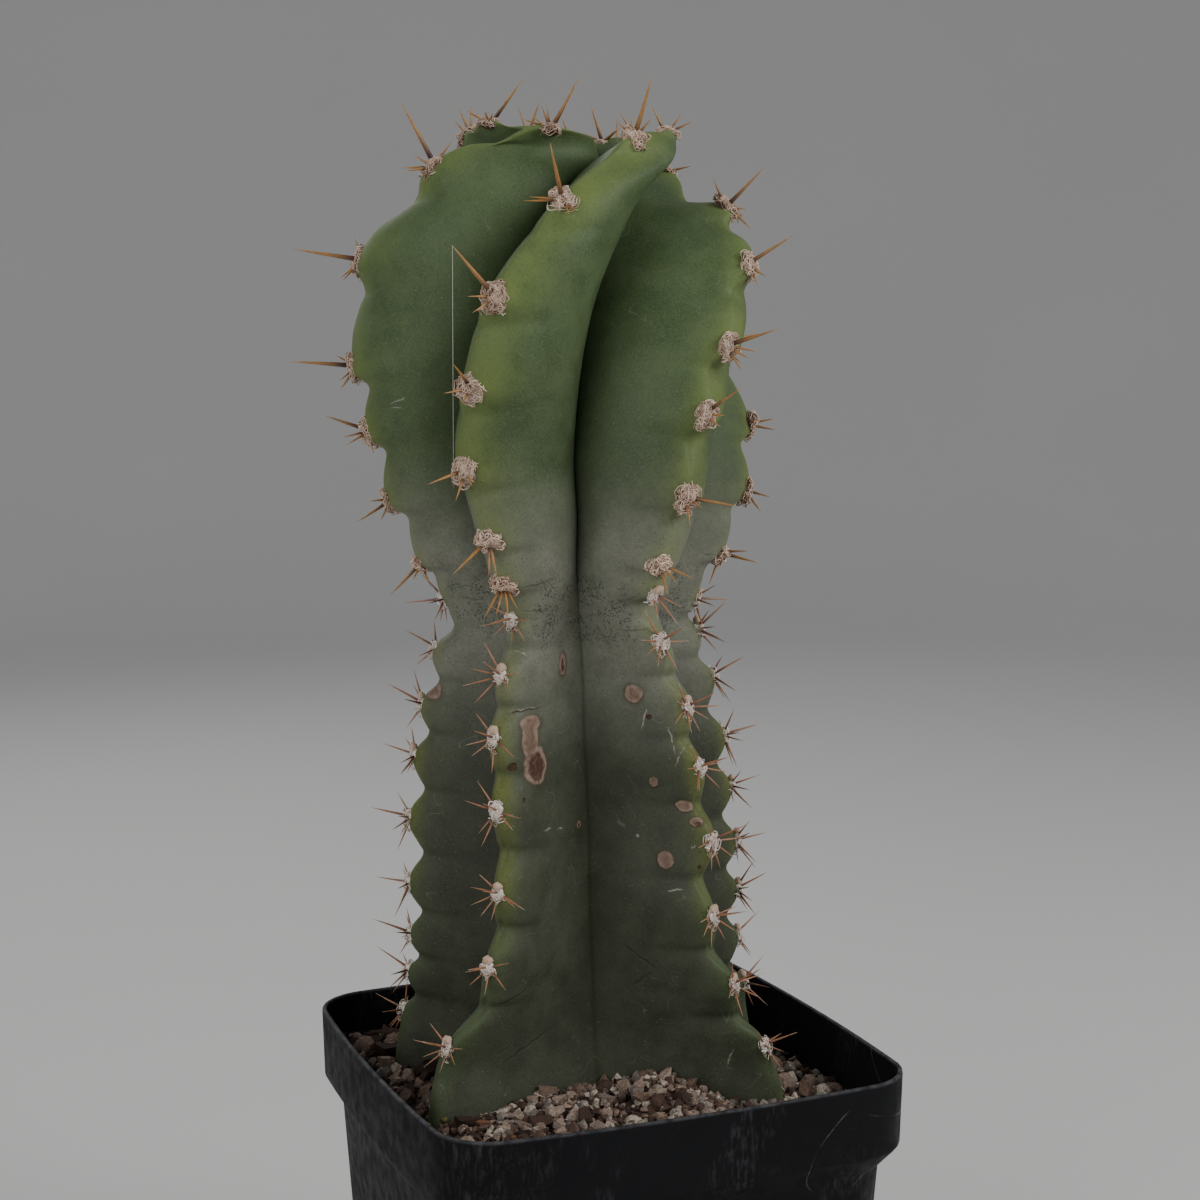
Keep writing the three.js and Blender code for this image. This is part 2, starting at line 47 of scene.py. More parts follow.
# Cross-sections of the stem from the buried foot to the apex: crest radius and height, furrow
# radius and height, rounding of the crest on its left and right, fullness of the left and right
# flanks, sideways lean, share of the crown lift, and the azimuths of the five ribs in degrees:
# front left, front right, right, back and left.
SECTIONS = np.array([
    [30.0, -30, 11.0, -30, 4.5, 5.5, 0.50, 0.52, -3.0, 0.0, -45, 74, 122, 188, 254],
    [39.0, -22, 13.0, -22, 4.5, 5.5, 0.50, 0.52, -3.0, 0.0, -45, 74, 122, 188, 254],
    [43.0, -10, 14.0, -10, 4.5, 5.5, 0.50, 0.52, -3.0, 0.0, -45, 73, 122, 188, 254],
    [40.0, 4, 13.0, 4, 4.0, 5.5, 0.50, 0.52, -3.5, 0.0, -44, 67, 118, 186, 254],
    [36.5, 18, 12.5, 18, 3.5, 5.5, 0.50, 0.52, -4.0, 0.0, -32, 57, 112, 184, 262],
    [35.3, 34, 12.5, 34, 3.5, 5.5, 0.50, 0.52, -4.5, 0.0, -26, 49, 106, 182, 269],
    [34.5, 50, 12.0, 50, 3.5, 5.5, 0.50, 0.52, -5.0, 0.0, -25, 52, 106, 182, 268],
    [32.5, 66, 13.0, 66, 3.5, 5.5, 0.50, 0.52, -5.3, 0.0, -28, 48, 106, 182, 266],
    [29.5, 80, 13.5, 80, 3.5, 5.5, 0.50, 0.52, -5.4, 0.0, -28, 46, 106, 180, 270],
    [26.5, 91, 14.5, 91, 3.5, 5.5, 0.50, 0.52, -5.4, 0.0, -26, 37, 108, 178, 264],
    [31.5, 101, 17.0, 101, 3.0, 6, 0.50, 0.52, -5.5, 0.0, -26, 33, 104, 176, 272],
    [36.5, 112, 19.0, 112, 3.5, 8, 0.45, 0.50, -6.0, 0.0, -27, 37, 99, 176, 276],
    [39.5, 124, 20.0, 124, 3.5, 9, 0.42, 0.55, -6.8, 0.0, -29, 40, 102, 180, 277],
    [42.0, 140, 19.0, 140, 4.0, 11, 0.40, 0.62, -7.8, 0.0, -22, 47, 119, 192, 276],
    [42.3, 154, 17.0, 153, 4.0, 12, 0.40, 0.66, -8.4, 0.0, -15, 60, 136, 204, 268],
    [39.3, 166, 14.5, 163, 3.5, 13, 0.34, 0.70, -8.0, 0.0, -5, 73, 148, 214, 272],
    [33.3, 175, 12.0, 170, 2.5, 13, 0.24, 0.76, -7.5, 0.3, 6, 86, 160, 222, 280],
    [27.5, 181.5, 9.5, 176, 2.0, 14, 0.20, 0.88, -7.0, 1.0, 21, 98, 172, 230, 290],
    [24.5, 185.5, 8.0, 179, 2.0, 11, 0.20, 0.84, -6.5, 1.0, 36, 112, 184, 237, 301],
    [22.0, 187.3, 6.5, 181, 2.0, 7, 0.20, 0.72, -6.0, 0.9, 63, 127, 198, 250, 314],
    [16.5, 188.0, 4.8, 182, 2.0, 4.5, 0.25, 0.50, -5.0, 0.7, 92, 152, 222, 275, 336],
    [9.0, 187.2, 3.0, 184, 2.5, 3, 0.40, 0.40, -4.5, 0.3, 122, 184, 252, 308, 366],
    [3.0, 186.2, 1.2, 185.2, 1.0, 1, 0.40, 0.40, -4.0, 0.0, 156, 222, 290, 350, 400],
])
APEX = np.array([-4.0, 0.0, 186.0])
RIBS = 5

# Columns of that table after its radii and heights, by side where a flank has its own.
ROUNDING = {-1: 4, 1: 5}
FULLNESS = {-1: 6, 1: 7}
SIDE_LEAN = 8
CROWN_SHARE = 9
FIRST_AZIMUTH = 10

# For each rib: how far its crest is lifted at the crown, the share by which it is slimmer there,
# the depth of its young folds against the other ribs', and how far the furrow on its right lies
# past the middle, as a share of the way to the next rib, between two heights.
CROWN_LIFT = [0, -5.5, -2, 3, -0.7]
CROWN_SLIM = [-0.3, 0.4, 0.4, 0.4, 0.45]
RIB_FOLD = [0.4, 1, 1, 1, 1]
FURROW_LEAN = [0, 0, 0, 0, 0.3]
FURROW_LEAN_HEIGHTS = (125, 160)

# Areoles of each rib by their level on the crest: the height above the rim, and over the crown
# the distance run inwards from CROWN_RADIUS as well.
CROWN_RADIUS = 24
AREOLES = [
    [7, 24, 39, 55, 69, 81, 92, 99, 108, 121.5, 137, 154, 172, 185, 192.5, 199, 204],
    [3, 17, 32, 47, 62, 74, 87, 97, 102.5, 116, 132, 145, 161, 175, 188, 195, 202],
    [6, 18, 29, 40, 52, 63, 76, 86, 92.5, 102, 115.5, 129, 146, 163, 178, 190, 199],
    [4, 13, 25, 38, 51, 64, 77, 88, 95, 106, 121, 136, 152, 169, 186, 195, 203],
    [2, 12, 21, 33, 47, 60, 71, 83, 93, 101, 114, 128, 141, 163, 181.5, 197],
]

# Levels that part the lower stem from the young one, and the crown and the apex from the rest.
PINCH_LEVEL = 95
YOUNG_LEVEL = 97
CROWN_LEVEL = 150
CREST_TOP = 174
APEX_LEVEL = 187

# A crest folds in between two areoles: the fold's share of the way up from the lower one, its depth,
# the spacing of areoles at which it is that deep and its least and greatest share of it at others,
# how narrow it is, the crest radius under which it fades, and how much of it the shoulder has lost.
FOLD_PLACE = {"old": 0.52, "young": 0.74, "crown": 0.5, "apex": 0.35}
FOLD_DEPTH = {"old": 2.3, "young": 2.4, "crown": 2.8, "apex": 1.5}
FOLD_SPACING = 13
FOLD_SHARES = (0.5, 1.1)
FOLD_NARROWNESS = 1.6
FOLD_RADIUS = 15
SHOULDER_LOSS = 0.85

# How far the belly of a young flank follows the folds of its crest, on the left and on the right,
# and the same for both flanks of the old stem, which ends between two heights.
YOUNG_PULL = {-1: 0.45, 1: 0.12}
OLD_PULL = 0.9
OLD_END = (85, 103)


def smooth_share(value, low, high):
    """Rises softly from 0 at the low value to 1 at the high one."""
    t = np.clip((value - low) / (high - low), 0, 1)
    return t * t * (3 - 2 * t)


def bell(offset, width):
    """Soft hump of height 1 round an offset of 0."""
    return np.exp(-(offset / width) ** 2)


def rows_between(table, u):
    """Smooth curve through the rows of a table, read at the row numbers u."""
    last = len(table) - 1
    u = np.clip(u, 0, last - 1e-6)
    row = np.floor(u).astype(int)
    t = (u - row)[..., None]
    a, b, c, d = (table[np.clip(row + k, 0, last)] for k in (-1, 0, 1, 2))
    return 0.5 * (2 * b + (c - a) * t + (2 * a - 5 * b + 4 * c - d) * t ** 2
                  + (3 * b - a - 3 * c + d) * t ** 3)


def crest_level(section):
    """Level of a section's crest, as the areoles are listed."""
    return section[..., 1] + np.maximum(0, CROWN_RADIUS - section[..., 0])


FINE_ROWS = np.linspace(0, len(SECTIONS) - 1, 6000)
FINE_LEVELS = np.maximum.accumulate(crest_level(rows_between(SECTIONS, FINE_ROWS)))


def section_of_level(level):
    return np.interp(level, FINE_LEVELS, FINE_ROWS)


def fold_place(below, above):
    """Share of the way from an areole to the next one up at which the crest folds in."""
    place = np.where(above > PINCH_LEVEL, FOLD_PLACE["young"], FOLD_PLACE["old"])
    place = np.where(below > CREST_TOP, FOLD_PLACE["crown"], place)
    return np.where(below > APEX_LEVEL, FOLD_PLACE["apex"], place)


def fold_places(rib):
    """Levels of the folds that cross a crest, one between each two areoles."""
    places = np.array(AREOLES[rib], float)
    return places[:-1] + fold_place(places[:-1], places[1:]) * np.diff(places)


def fold_depth(rib, level):
    """How far a crest draws in between two areoles, most at the fold."""
    places = np.array(AREOLES[rib], float)
    index = np.clip(np.searchsorted(places, level, side="right"), 1, len(places) - 1)
    below, above = places[index - 1], places[index]
    spacing = above - below
    share = np.clip((level - below) / spacing, 0, 1)
    place = fold_place(below, above)
    phase = np.where(share < place, share / (2 * place), 0.5 + (share - place) / (2 * (1 - place)))
    depth = np.where(above > PINCH_LEVEL, FOLD_DEPTH["young"], FOLD_DEPTH["old"])
    depth = np.where(below > CROWN_LEVEL, FOLD_DEPTH["crown"], depth)
    depth = np.where(below > APEX_LEVEL, FOLD_DEPTH["apex"], depth)
    depth = np.where(above > PINCH_LEVEL, depth * RIB_FOLD[rib], depth)
    depth = depth * np.clip(spacing / FOLD_SPACING, *FOLD_SHARES)
    depth = np.where((level < places[0]) | (level > places[-1]), 0, depth)
    return depth * (0.5 - 0.5 * np.cos(2 * np.pi * phase)) ** FOLD_NARROWNESS


def around(angle, radius):
    """Vector of a length at an azimuth measured from the front, counter-clockwise from above."""
    return np.stack([radius * np.sin(angle), -radius * np.cos(angle), np.zeros_like(angle)], axis=-1)


def across(angle):
    """Unit vector to the right of an azimuth, as seen from outside."""
    return np.stack([np.cos(angle), np.sin(angle), np.zeros_like(angle)], axis=-1)


UP = np.array([0.0, 0.0, 1.0])

# Share of the way to the next section over which the rise of a crest is read.
ROW_STEP = 0.05


def stem_points(u, rib, side, share):
    """Points of the stem's skin, at section numbers u and at shares across one flank of a rib,
    from 0 on the crest to 1 in the furrow. side is -1 for the left flank and 1 for the right."""
    section = rows_between(SECTIONS, u)
    crest_radius, crest_height, furrow_radius, furrow_height = (section[..., k] for k in range(4))
    slim = 1 - CROWN_SLIM[rib] * section[..., CROWN_SHARE]
    rounding = section[..., ROUNDING[side]] * slim
    fullness = section[..., FULLNESS[side]] * slim
    turns, neighbour = divmod(rib + side, RIBS)
    crest_angle = np.radians(section[..., FIRST_AZIMUTH + rib])
    beside = np.radians(section[..., FIRST_AZIMUTH + neighbour] + 360 * turns)
    lean = FURROW_LEAN[rib if side > 0 else neighbour]
    lean = lean * smooth_share(crest_height, *FURROW_LEAN_HEIGHTS)
    furrow_angle = crest_angle + (0.5 + side * lean) * (beside - crest_angle)
    height = crest_height + CROWN_LIFT[rib] * section[..., CROWN_SHARE]

    ahead = rows_between(SECTIONS, u + ROW_STEP)
    behind = rows_between(SECTIONS, u - ROW_STEP)
    rise = ahead[..., :2] - behind[..., :2]
    rise /= np.linalg.norm(rise, axis=-1, keepdims=True) + 1e-9
    inward = around(crest_angle, -rise[..., 1]) + rise[..., 0, None] * UP
    fold = fold_depth(rib, crest_level(section)) * np.minimum(1, crest_radius / FOLD_RADIUS)
    fold = fold[..., None]

    crest = around(crest_angle, crest_radius) + height[..., None] * UP + fold * inward
    shoulder = crest + side * rounding[..., None] * across(crest_angle) - SHOULDER_LOSS * fold * inward
    furrow = around(furrow_angle, furrow_radius) + furrow_height[..., None] * UP
    spread = around(furrow_angle, crest_radius - furrow_radius)
    spread = spread + (height - furrow_height)[..., None] * UP
    old = 1 - smooth_share(height, *OLD_END)[..., None]
    pull = YOUNG_PULL[side] + (OLD_PULL - YOUNG_PULL[side]) * old
    belly = furrow + fullness[..., None] * ((1 - pull) * spread + pull * (crest - furrow))
    t = share[..., None]
    point = ((1 - t) ** 3 * crest + 3 * (1 - t) ** 2 * t * shoulder
             + 3 * (1 - t) * t ** 2 * belly + t ** 3 * furrow)
    point[..., 0] += section[..., SIDE_LEAN]
    return point


def turned(points):
    """From the plant's own frame in millimetres to the shared frame in metres."""
    c, s = math.cos(PLANT_TURN), math.sin(PLANT_TURN)
    x, y, z = points[..., 0], points[..., 1], points[..., 2]
    return np.stack([c * x - s * y, s * x + c * y, z + POT_HEIGHT], axis=-1) * MM


def turned_ways(ways):
    """Directions, from the plant's own frame to the shared one."""
    return (turned(ways) - turned(np.zeros(3))) / MM


# Short calls for modelling.
def clear_selection():
    if bpy.context.object and bpy.context.object.mode != "OBJECT":
        bpy.ops.object.mode_set(mode="OBJECT")
    bpy.ops.object.select_all(action="DESELECT")


def select_only(piece):
    clear_selection()
    piece.select_set(True)
    bpy.context.view_layer.objects.active = piece


def newest(name):
    """The primitive that was just added, under its own name."""
    piece = bpy.context.object
    piece.name = name
    piece.data.name = name
    return piece


def corners_of(piece):
    places = np.zeros(len(piece.data.vertices) * 3)
    piece.data.vertices.foreach_get("co", places)
    return places.reshape(-1, 3)


def set_corners(piece, places):
    piece.data.vertices.foreach_set("co", np.asarray(places, float).ravel())
    piece.data.update()


# In metres: corners that are nearer to each other are one, and how far a new ring is lifted before
# it gets its place.
SEAM = 1e-7
NUDGE = 1e-4


def closed_skin(piece, crisp=180):
    """Merges the seams of a mesh, turns its faces outwards and shades it smooth, apart from edges
    that are crisper than an angle in degrees."""
    select_only(piece)
    bpy.ops.object.mode_set(mode="EDIT")
    bpy.ops.mesh.select_all(action="SELECT")
    bpy.ops.mesh.remove_doubles(threshold=SEAM)
    bpy.ops.mesh.normals_make_consistent(inside=False)
    bpy.ops.object.mode_set(mode="OBJECT")
    bpy.ops.object.shade_smooth_by_angle(angle=math.radians(crisp))


def pulled_up(piece, outlines):
    """Extrudes a filled ring through a list of outlines, each with its corners in one order."""
    ring = np.arange(len(outlines[0]))
    places = corners_of(piece)
    places[ring] = outlines[0]
    set_corners(piece, places)
    select_only(piece)
    bpy.ops.object.mode_set(mode="EDIT")
    bpy.ops.mesh.select_all(action="SELECT")
    for outline in outlines[1:]:
        bpy.ops.object.mode_set(mode="EDIT")
        bpy.ops.mesh.extrude_region_move(TRANSFORM_OT_translate={"value": (0, 0, NUDGE)})
        bpy.ops.object.mode_set(mode="OBJECT")
        places = corners_of(piece)
        raised = np.flatnonzero([vertex.select for vertex in piece.data.vertices])
        apart = np.linalg.norm(places[ring, None, :2] - places[None, raised, :2], axis=2)
        ring = raised[np.argmin(apart, axis=1)]
        places[ring] = outline
        set_corners(piece, places)
    bpy.ops.object.mode_set(mode="OBJECT")


def mark(piece, name, values):
    """Stores a number for each vertex, for the piece's finish to read."""
    attribute = piece.data.attributes.new(name, "FLOAT", "POINT")
    attribute.data.foreach_set("value", np.asarray(values, np.float32).ravel())


def place_piece(piece, material, slot, *nodes):
    """Gives a piece its finish and the nodes that it stands for. Its slot is not used."""
    piece.data.materials.clear()
    piece.data.materials.append(material)
    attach(piece, "root")
    if nodes:
        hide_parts(*nodes)


# Settings that all noise patterns share, and the numbers of a mixer's sockets.
NOISE_ROUGHNESS = 0.55
WAVER_DETAIL = 3.0
MIX_SHARE = 0
MIX_BELOW = 6
MIX_ABOVE = 7
MIX_COLOUR = 2


class Finish:
    """A material that is put together node by node."""

    def __init__(self, name, **settings):
        self.material = bpy.data.materials.new(name)
        self.material.use_nodes = True
        self.tree = self.material.node_tree
        self.shader = self.tree.nodes["Principled BSDF"]
        self.object_place = self.add("TexCoord").outputs["Object"]
        for socket, value in settings.items():
            self.put(self.shader.inputs[socket.replace("_", " ")], value)

    def add(self, kind, values=None, **settings):
        node = self.tree.nodes.new("ShaderNode" + kind)
        for key, value in settings.items():
            setattr(node, key, value)
        for key, value in (values or {}).items():
            self.put(node.inputs[key], value)
        return node

    def put(self, socket, value):
        if isinstance(value, bpy.types.NodeSocket):
            self.tree.links.new(value, socket)
        elif socket.type == "RGBA" and len(value) == 3:
            socket.default_value = (*value, 1)
        else:
            socket.default_value = value

    def mark(self, name):
        """A number that the mesh holds for each vertex."""
        return self.add("Attribute", attribute_name=name).outputs["Fac"]

    def math(self, operation, a, b=0.0):
        return self.add("Math", {0: a, 1: b}, operation=operation).outputs[0]

    def times(self, *factors):
        """The product of some shares."""
        whole = factors[0]
        for factor in factors[1:]:
            whole = self.math("MULTIPLY", whole, factor)
        return whole

    def spread(self, value, low, high, to_low=0.0, to_high=1.0):
        """A value read over a range, held at the range's ends, with soft corners."""
        values = {"Value": value, "From Min": low, "From Max": high, "To Min": to_low, "To Max": to_high}
        return self.add("MapRange", values, interpolation_type="SMOOTHSTEP").outputs["Result"]

    def noise(self, scale, detail, stretch=None):
        """Cloudy pattern, with its size as clouds to the metre."""
        place = self.object_place
        if stretch:
            place = self.add("Mapping", {"Vector": place, "Scale": stretch}).outputs[0]
        values = {"Vector": place, "Scale": scale, "Detail": detail, "Roughness": NOISE_ROUGHNESS}
        return self.add("TexNoise", values).outputs["Fac"]

    def contour(self, scale, detail, stretch=None):
        """Distance from the line along which a cloudy pattern has its middle value."""
        clouds = self.noise(scale, detail, stretch)
        return self.math("ABSOLUTE", self.math("SUBTRACT", clouds, 0.5))

    def cells(self, scale):
        """Distance from the nearest of scattered points."""
        values = {"Vector": self.object_place, "Scale": scale}
        return self.add("TexVoronoi", values).outputs["Distance"]

    def mix(self, share, below, above):
        """One colour laid over another by a share."""
        mixer = self.add("Mix", data_type="RGBA")
        self.put(mixer.inputs[MIX_SHARE], share)
        self.put(mixer.inputs[MIX_BELOW], below)
        self.put(mixer.inputs[MIX_ABOVE], above)
        return mixer.outputs[MIX_COLOUR]

    def over(self, base, layer, *shares):
        """A colour laid over another by the product of some shares."""
        return self.mix(self.times(*shares), base, layer)

    def ramp(self, value, *stops):
        """Colours at places along a value."""
        ramp = self.add("ValToRGB", {"Fac": value})
        while len(ramp.color_ramp.elements) < len(stops):
            ramp.color_ramp.elements.new(1)
        for element, (place, colour) in zip(ramp.color_ramp.elements, stops):
            element.position = place
            element.color = (*colour, 1)
        return ramp.outputs["Color"]

    def wavering(self, scale, reach):
        """The place on the object, moved about a little so that the edges of marks waver."""
        values = {"Vector": self.object_place, "Scale": scale, "Detail": WAVER_DETAIL}
        push = self.add("TexNoise", values).outputs["Color"]
        push = self.add("VectorMath", {0: push, 1: (0.5, 0.5, 0.5)}, operation="SUBTRACT").outputs[0]
        push = self.add("VectorMath", {0: push, "Scale": reach}, operation="SCALE").outputs[0]
        return self.add("VectorMath", {0: self.object_place, 1: push}, operation="ADD").outputs[0]

    def reach_from(self, place, centre, frame_of, size):
        """Distance from a spot's centre, which is 1 at its half-width, half-height and depth."""
        values = {"Vector": place, "Location": centre, "Rotation": frame_of, "Scale": size}
        inside = self.add("Mapping", values, vector_type="TEXTURE").outputs[0]
        return self.add("VectorMath", {0: inside}, operation="LENGTH").outputs["Value"]

    def nearest(self, reaches):
        """The least of some distances."""
        near = reaches[0]
        for reach in reaches[1:]:
            near = self.math("MINIMUM", near, reach)
        return near

    def bump(self, *layers):
        """Relief from layers of (height, how far it stands out in metres)."""
        normal = None
        for height, distance in layers:
            values = {"Height": height, "Distance": distance}
            if normal:
                values["Normal"] = normal
            normal = self.add("Bump", values).outputs["Normal"]
        self.put(self.shader.inputs["Normal"], normal)


# Marks on the stem's skin by kind: rib, side of its crest, share across the flank, level,
# half-width and half-height in millimetres, and lean to the right in degrees.
SCARS = {
    "cork": [
        (0, 1, 0.46, 71.4, 2.7, 1.6, 0), (0, 1, 0.47, 68.0, 2.3, 4.4, 0),
        (0, 1, 0.50, 63.0, 3.2, 3.8, 0), (0, 1, 0.80, 82.0, 1.0, 2.3, 4),
        (4, 1, 0.20, 74.6, 2.1, 2.0, -10), (1, -1, 0.61, 76.2, 2.0, 1.9, 0),
        (1, -1, 0.54, 58.6, 1.0, 1.1, 0), (1, -1, 0.28, 54.0, 1.8, 1.1, 10),
        (0, 1, 0.91, 48.7, 0.7, 0.8, 0), (1, -1, 0.49, 42.8, 1.8, 1.8, 0),
        (1, -1, 0.20, 51.0, 1.4, 0.9, 0),
        (3, 1, 0.40, 60.0, 1.5, 2.6, 12), (3, -1, 0.55, 38.0, 1.2, 1.3, 0),
    ],
    "sore": [
        (0, 1, 0.51, 62.6, 2.2, 2.8, 0), (0, 1, 0.80, 82.0, 0.3, 1.4, 4),
        (0, 1, 0.91, 48.7, 0.3, 0.35, 0),
        (0, 1, 0.36, 56.8, 0.5, 0.5, 0), (1, -1, 0.50, 71.9, 0.6, 0.5, 0),
        (1, -1, 0.19, 50.5, 0.6, 0.4, 0), (1, -1, 0.11, 41.8, 0.5, 0.5, 0),
        (0, 1, 0.20, 63.4, 0.9, 0.9, 0), (0, 1, 0.34, 74.2, 3.6, 0.10, -2),
        (3, 1, 0.40, 60.0, 0.6, 1.5, 12),
    ],
    "scratch": [
        (1, -1, 0.54, 71.6, 0.22, 2.6, 14), (0, 1, 0.59, 49.9, 1.3, 0.20, 0),
        (0, 1, 0.72, 49.3, 0.9, 0.16, 0), (1, -1, 0.28, 46.1, 0.5, 0.4, 0),
        (1, -1, 0.70, 46.9, 0.35, 0.3, 0), (1, -1, 0.41, 37.0, 1.9, 0.16, -12),
        (1, -1, 0.27, 67.5, 0.16, 3.0, -16), (1, -1, 0.25, 64.5, 0.14, 2.4, 24),
        (0, 1, 0.36, 74.6, 4.2, 0.07, -3), (4, 1, 0.46, 134.4, 1.8, 0.13, -20),
        (4, 1, 0.45, 133.0, 1.2, 0.10, -6), (1, -1, 0.39, 0.5, 0.20, 2.2, 20),
        (0, 1, 0.12, 86.0, 0.22, 1.8, -60),
    ],
    "crease": [
        (0, 1, 0.40, 99.0, 3.2, 0.22, -12), (0, 1, 0.35, 93.5, 2.6, 0.18, 2),
        (1, -1, 0.39, 95.3, 2.4, 0.22, -24), (1, -1, 0.36, 89.3, 3.0, 0.15, -4),
        (4, 1, 0.60, 93.9, 2.4, 0.20, 4), (2, -1, 0.40, 102.3, 1.6, 0.20, 10),
        (0, 1, 0.38, 17.1, 4.4, 0.26, -24), (0, 1, 0.66, 5.2, 5.4, 0.26, -26),
        (1, -1, 0.72, 21.7, 3.6, 0.26, 32), (1, -1, 0.74, 16.9, 2.4, 0.22, -40),
    ],
}


# Grooves that run from the folds over the flanks: share of the flank that they cross, soft width
# below and above, and depth. A young one climbs steeper and steeper towards the furrow, and an old
# one falls evenly. Above the last level there are none.
GROOVES = {
    "young": {"cross": 0.40, "below": 1.6, "above": 0.9, "depth": 0.45},
    "old": {"cross": 0.46, "below": 3.2, "above": 0.9, "depth": 0.62},
}
YOUNG_CLIMB = 9
YOUNG_GROOVE_DROP = 1
OLD_FALL = 1.5
LAST_GROOVE = 180

# The swelling under each areole, and the ring groove at the waist.
CHIN = {"drop": 1.5, "tall": 3.2, "cross": 0.16, "young": 0.6, "old": 0.35}
WAIST_GROOVE = {"level": 91, "climb": 3, "tall": 0.8, "cross": 0.35, "depth": 0.45}

# Where the skin is shaded in old folds, and where it is yellower round the areoles.
FOLD_SHADE = {"rise": 0.2, "below": 0.5, "above": 1.3, "cross": 0.5}
GLOW = {"rise": 1, "tall": 4.5, "cross": 0.28}


def relief(rib, share, level):
    """Fine form of the skin over its plain surface, in millimetres outwards."""
    height = np.zeros(np.broadcast(share, level).shape)
    for place in fold_places(rib):
        if place > LAST_GROOVE:
            continue
        young = place > PINCH_LEVEL
        form = GROOVES["young" if young else "old"]
        climb = YOUNG_CLIMB * share ** 2 - YOUNG_GROOVE_DROP if young else -OLD_FALL * share
        off = level - (place + climb)
        groove = np.where(off < 0, bell(off, form["below"]), bell(off, form["above"]))
        height -= form["depth"] * bell(share, form["cross"]) * groove
    for place in AREOLES[rib]:
        chin = bell(level - place + CHIN["drop"], CHIN["tall"]) * bell(share, CHIN["cross"])
        height += CHIN["young" if place > YOUNG_LEVEL else "old"] * chin
    waist = WAIST_GROOVE
    off = level - waist["level"] - waist["climb"] * share
    height -= waist["depth"] * bell(off, waist["tall"]) * bell(share, waist["cross"])
    return height


def fold_shade_at(rib, share, level):
    """How near a place on the skin is to the bottom of a fold below an areole, where shade is painted."""
    old_folds = [place for place in fold_places(rib) if place < PINCH_LEVEL]
    near = []
    for place in old_folds:
        off = level - (place + FOLD_SHADE["rise"] - OLD_FALL * share)
        near.append(bell(off, np.where(off < 0, FOLD_SHADE["below"], FOLD_SHADE["above"])))
    return np.max(near, axis=0) * bell(share, FOLD_SHADE["cross"])


def glow_at(rib, share, level):
    """How near a place on the skin is to an areole's upper edge, where young skin shows longest."""
    near = [bell(level - place - GLOW["rise"], GLOW["tall"]) for place in AREOLES[rib]]
    return np.max(near, axis=0) * bell(share, GLOW["cross"])


# The skin is a sheet of columns round the stem and rows up it, with its columns closest together
# on the crests and its first rows in the grit.
STEM_COLUMNS = 240
STEM_ROWS = 372
CREST_CROWDING = 1.3
FOOT = np.array([-3.0, 0.0, -30.0])
BURIED_LEVEL = -14.0
BURIED_ROWS = 6


def stem_levels(row):
    """Level of each row of the skin: a few rows in the grit, and the rest spaced evenly."""
    buried = np.interp(row, [0, BURIED_ROWS], [SECTIONS[0, 1], BURIED_LEVEL])
    shown = np.interp(row, [BURIED_ROWS, STEM_ROWS], [BURIED_LEVEL, FINE_LEVELS[-1]])
    return np.where(row < BURIED_ROWS, buried, shown)


def outwards(points, column, row):
    """Directions out of the skin at the points of its sheet."""
    order = np.lexsort((column, row))
    grid = points[order].reshape(STEM_ROWS + 1, STEM_COLUMNS + 1, 3)
    upwards = np.gradient(grid, axis=0)
    sideways = np.empty_like(grid)
    sideways[:, 1:-1] = grid[:, 2:] - grid[:, :-2]
    sideways[:, 0] = sideways[:, -1] = grid[:, 1] - grid[:, -2]
    out = np.cross(sideways, upwards)
    out /= np.linalg.norm(out, axis=-1, keepdims=True) + 1e-12
    directions = np.empty_like(points)
    directions[order] = out.reshape(-1, 3)
    return directions


def stem_skin():
    """A flat sheet is wrapped round the stem, flank by flank, raised by the skin's fine form, and
    closed at the foot and the apex. Its marks say where each corner lies, for the finish."""
    clear_selection()
    bpy.ops.mesh.primitive_grid_add(x_subdivisions=STEM_COLUMNS, y_subdivisions=STEM_ROWS, size=1)
    skin = newest("stem_skin")
    flat = corners_of(skin)
    column = np.rint((flat[:, 0] + 0.5) * STEM_COLUMNS).astype(int)
    row = np.rint((flat[:, 1] + 0.5) * STEM_ROWS).astype(int)
    levels = stem_levels(row.astype(float))
    u = section_of_level(levels)
    steps = STEM_COLUMNS // (2 * RIBS)
    points = np.zeros((len(flat), 3))
    height, flank, glow, fold = np.zeros((4, len(flat)))
    for rib in range(RIBS):
        for side in (-1, 1):
            first = (2 * rib + (side > 0)) * steps
            of_flank = (column >= first) & (column <= first + steps)
            across_it = (column[of_flank] - first) / steps
            share = (across_it if side > 0 else 1 - across_it) ** CREST_CROWDING
            points[of_flank] = stem_points(u[of_flank], rib, side, share)
            height[of_flank] = relief(rib, share, levels[of_flank])
            flank[of_flank] = share
            glow[of_flank] = glow_at(rib, share, levels[of_flank])
            # How near each corner is to an old fold, where the finish paints shade.
            fold[of_flank] = fold_shade_at(rib, share, levels[of_flank])
    points += height[:, None] * outwards(points, column, row)
    points[row == 0] = FOOT
    points[row == STEM_ROWS] = APEX
    set_corners(skin, turned(points))
    mark(skin, "level", levels)
    mark(skin, "flank", flank)
    mark(skin, "glow", glow)
    # The fold mark says where the finish paints shade in the old folds.
    mark(skin, "fold", fold)
    closed_skin(skin, crisp=50)
    return skin


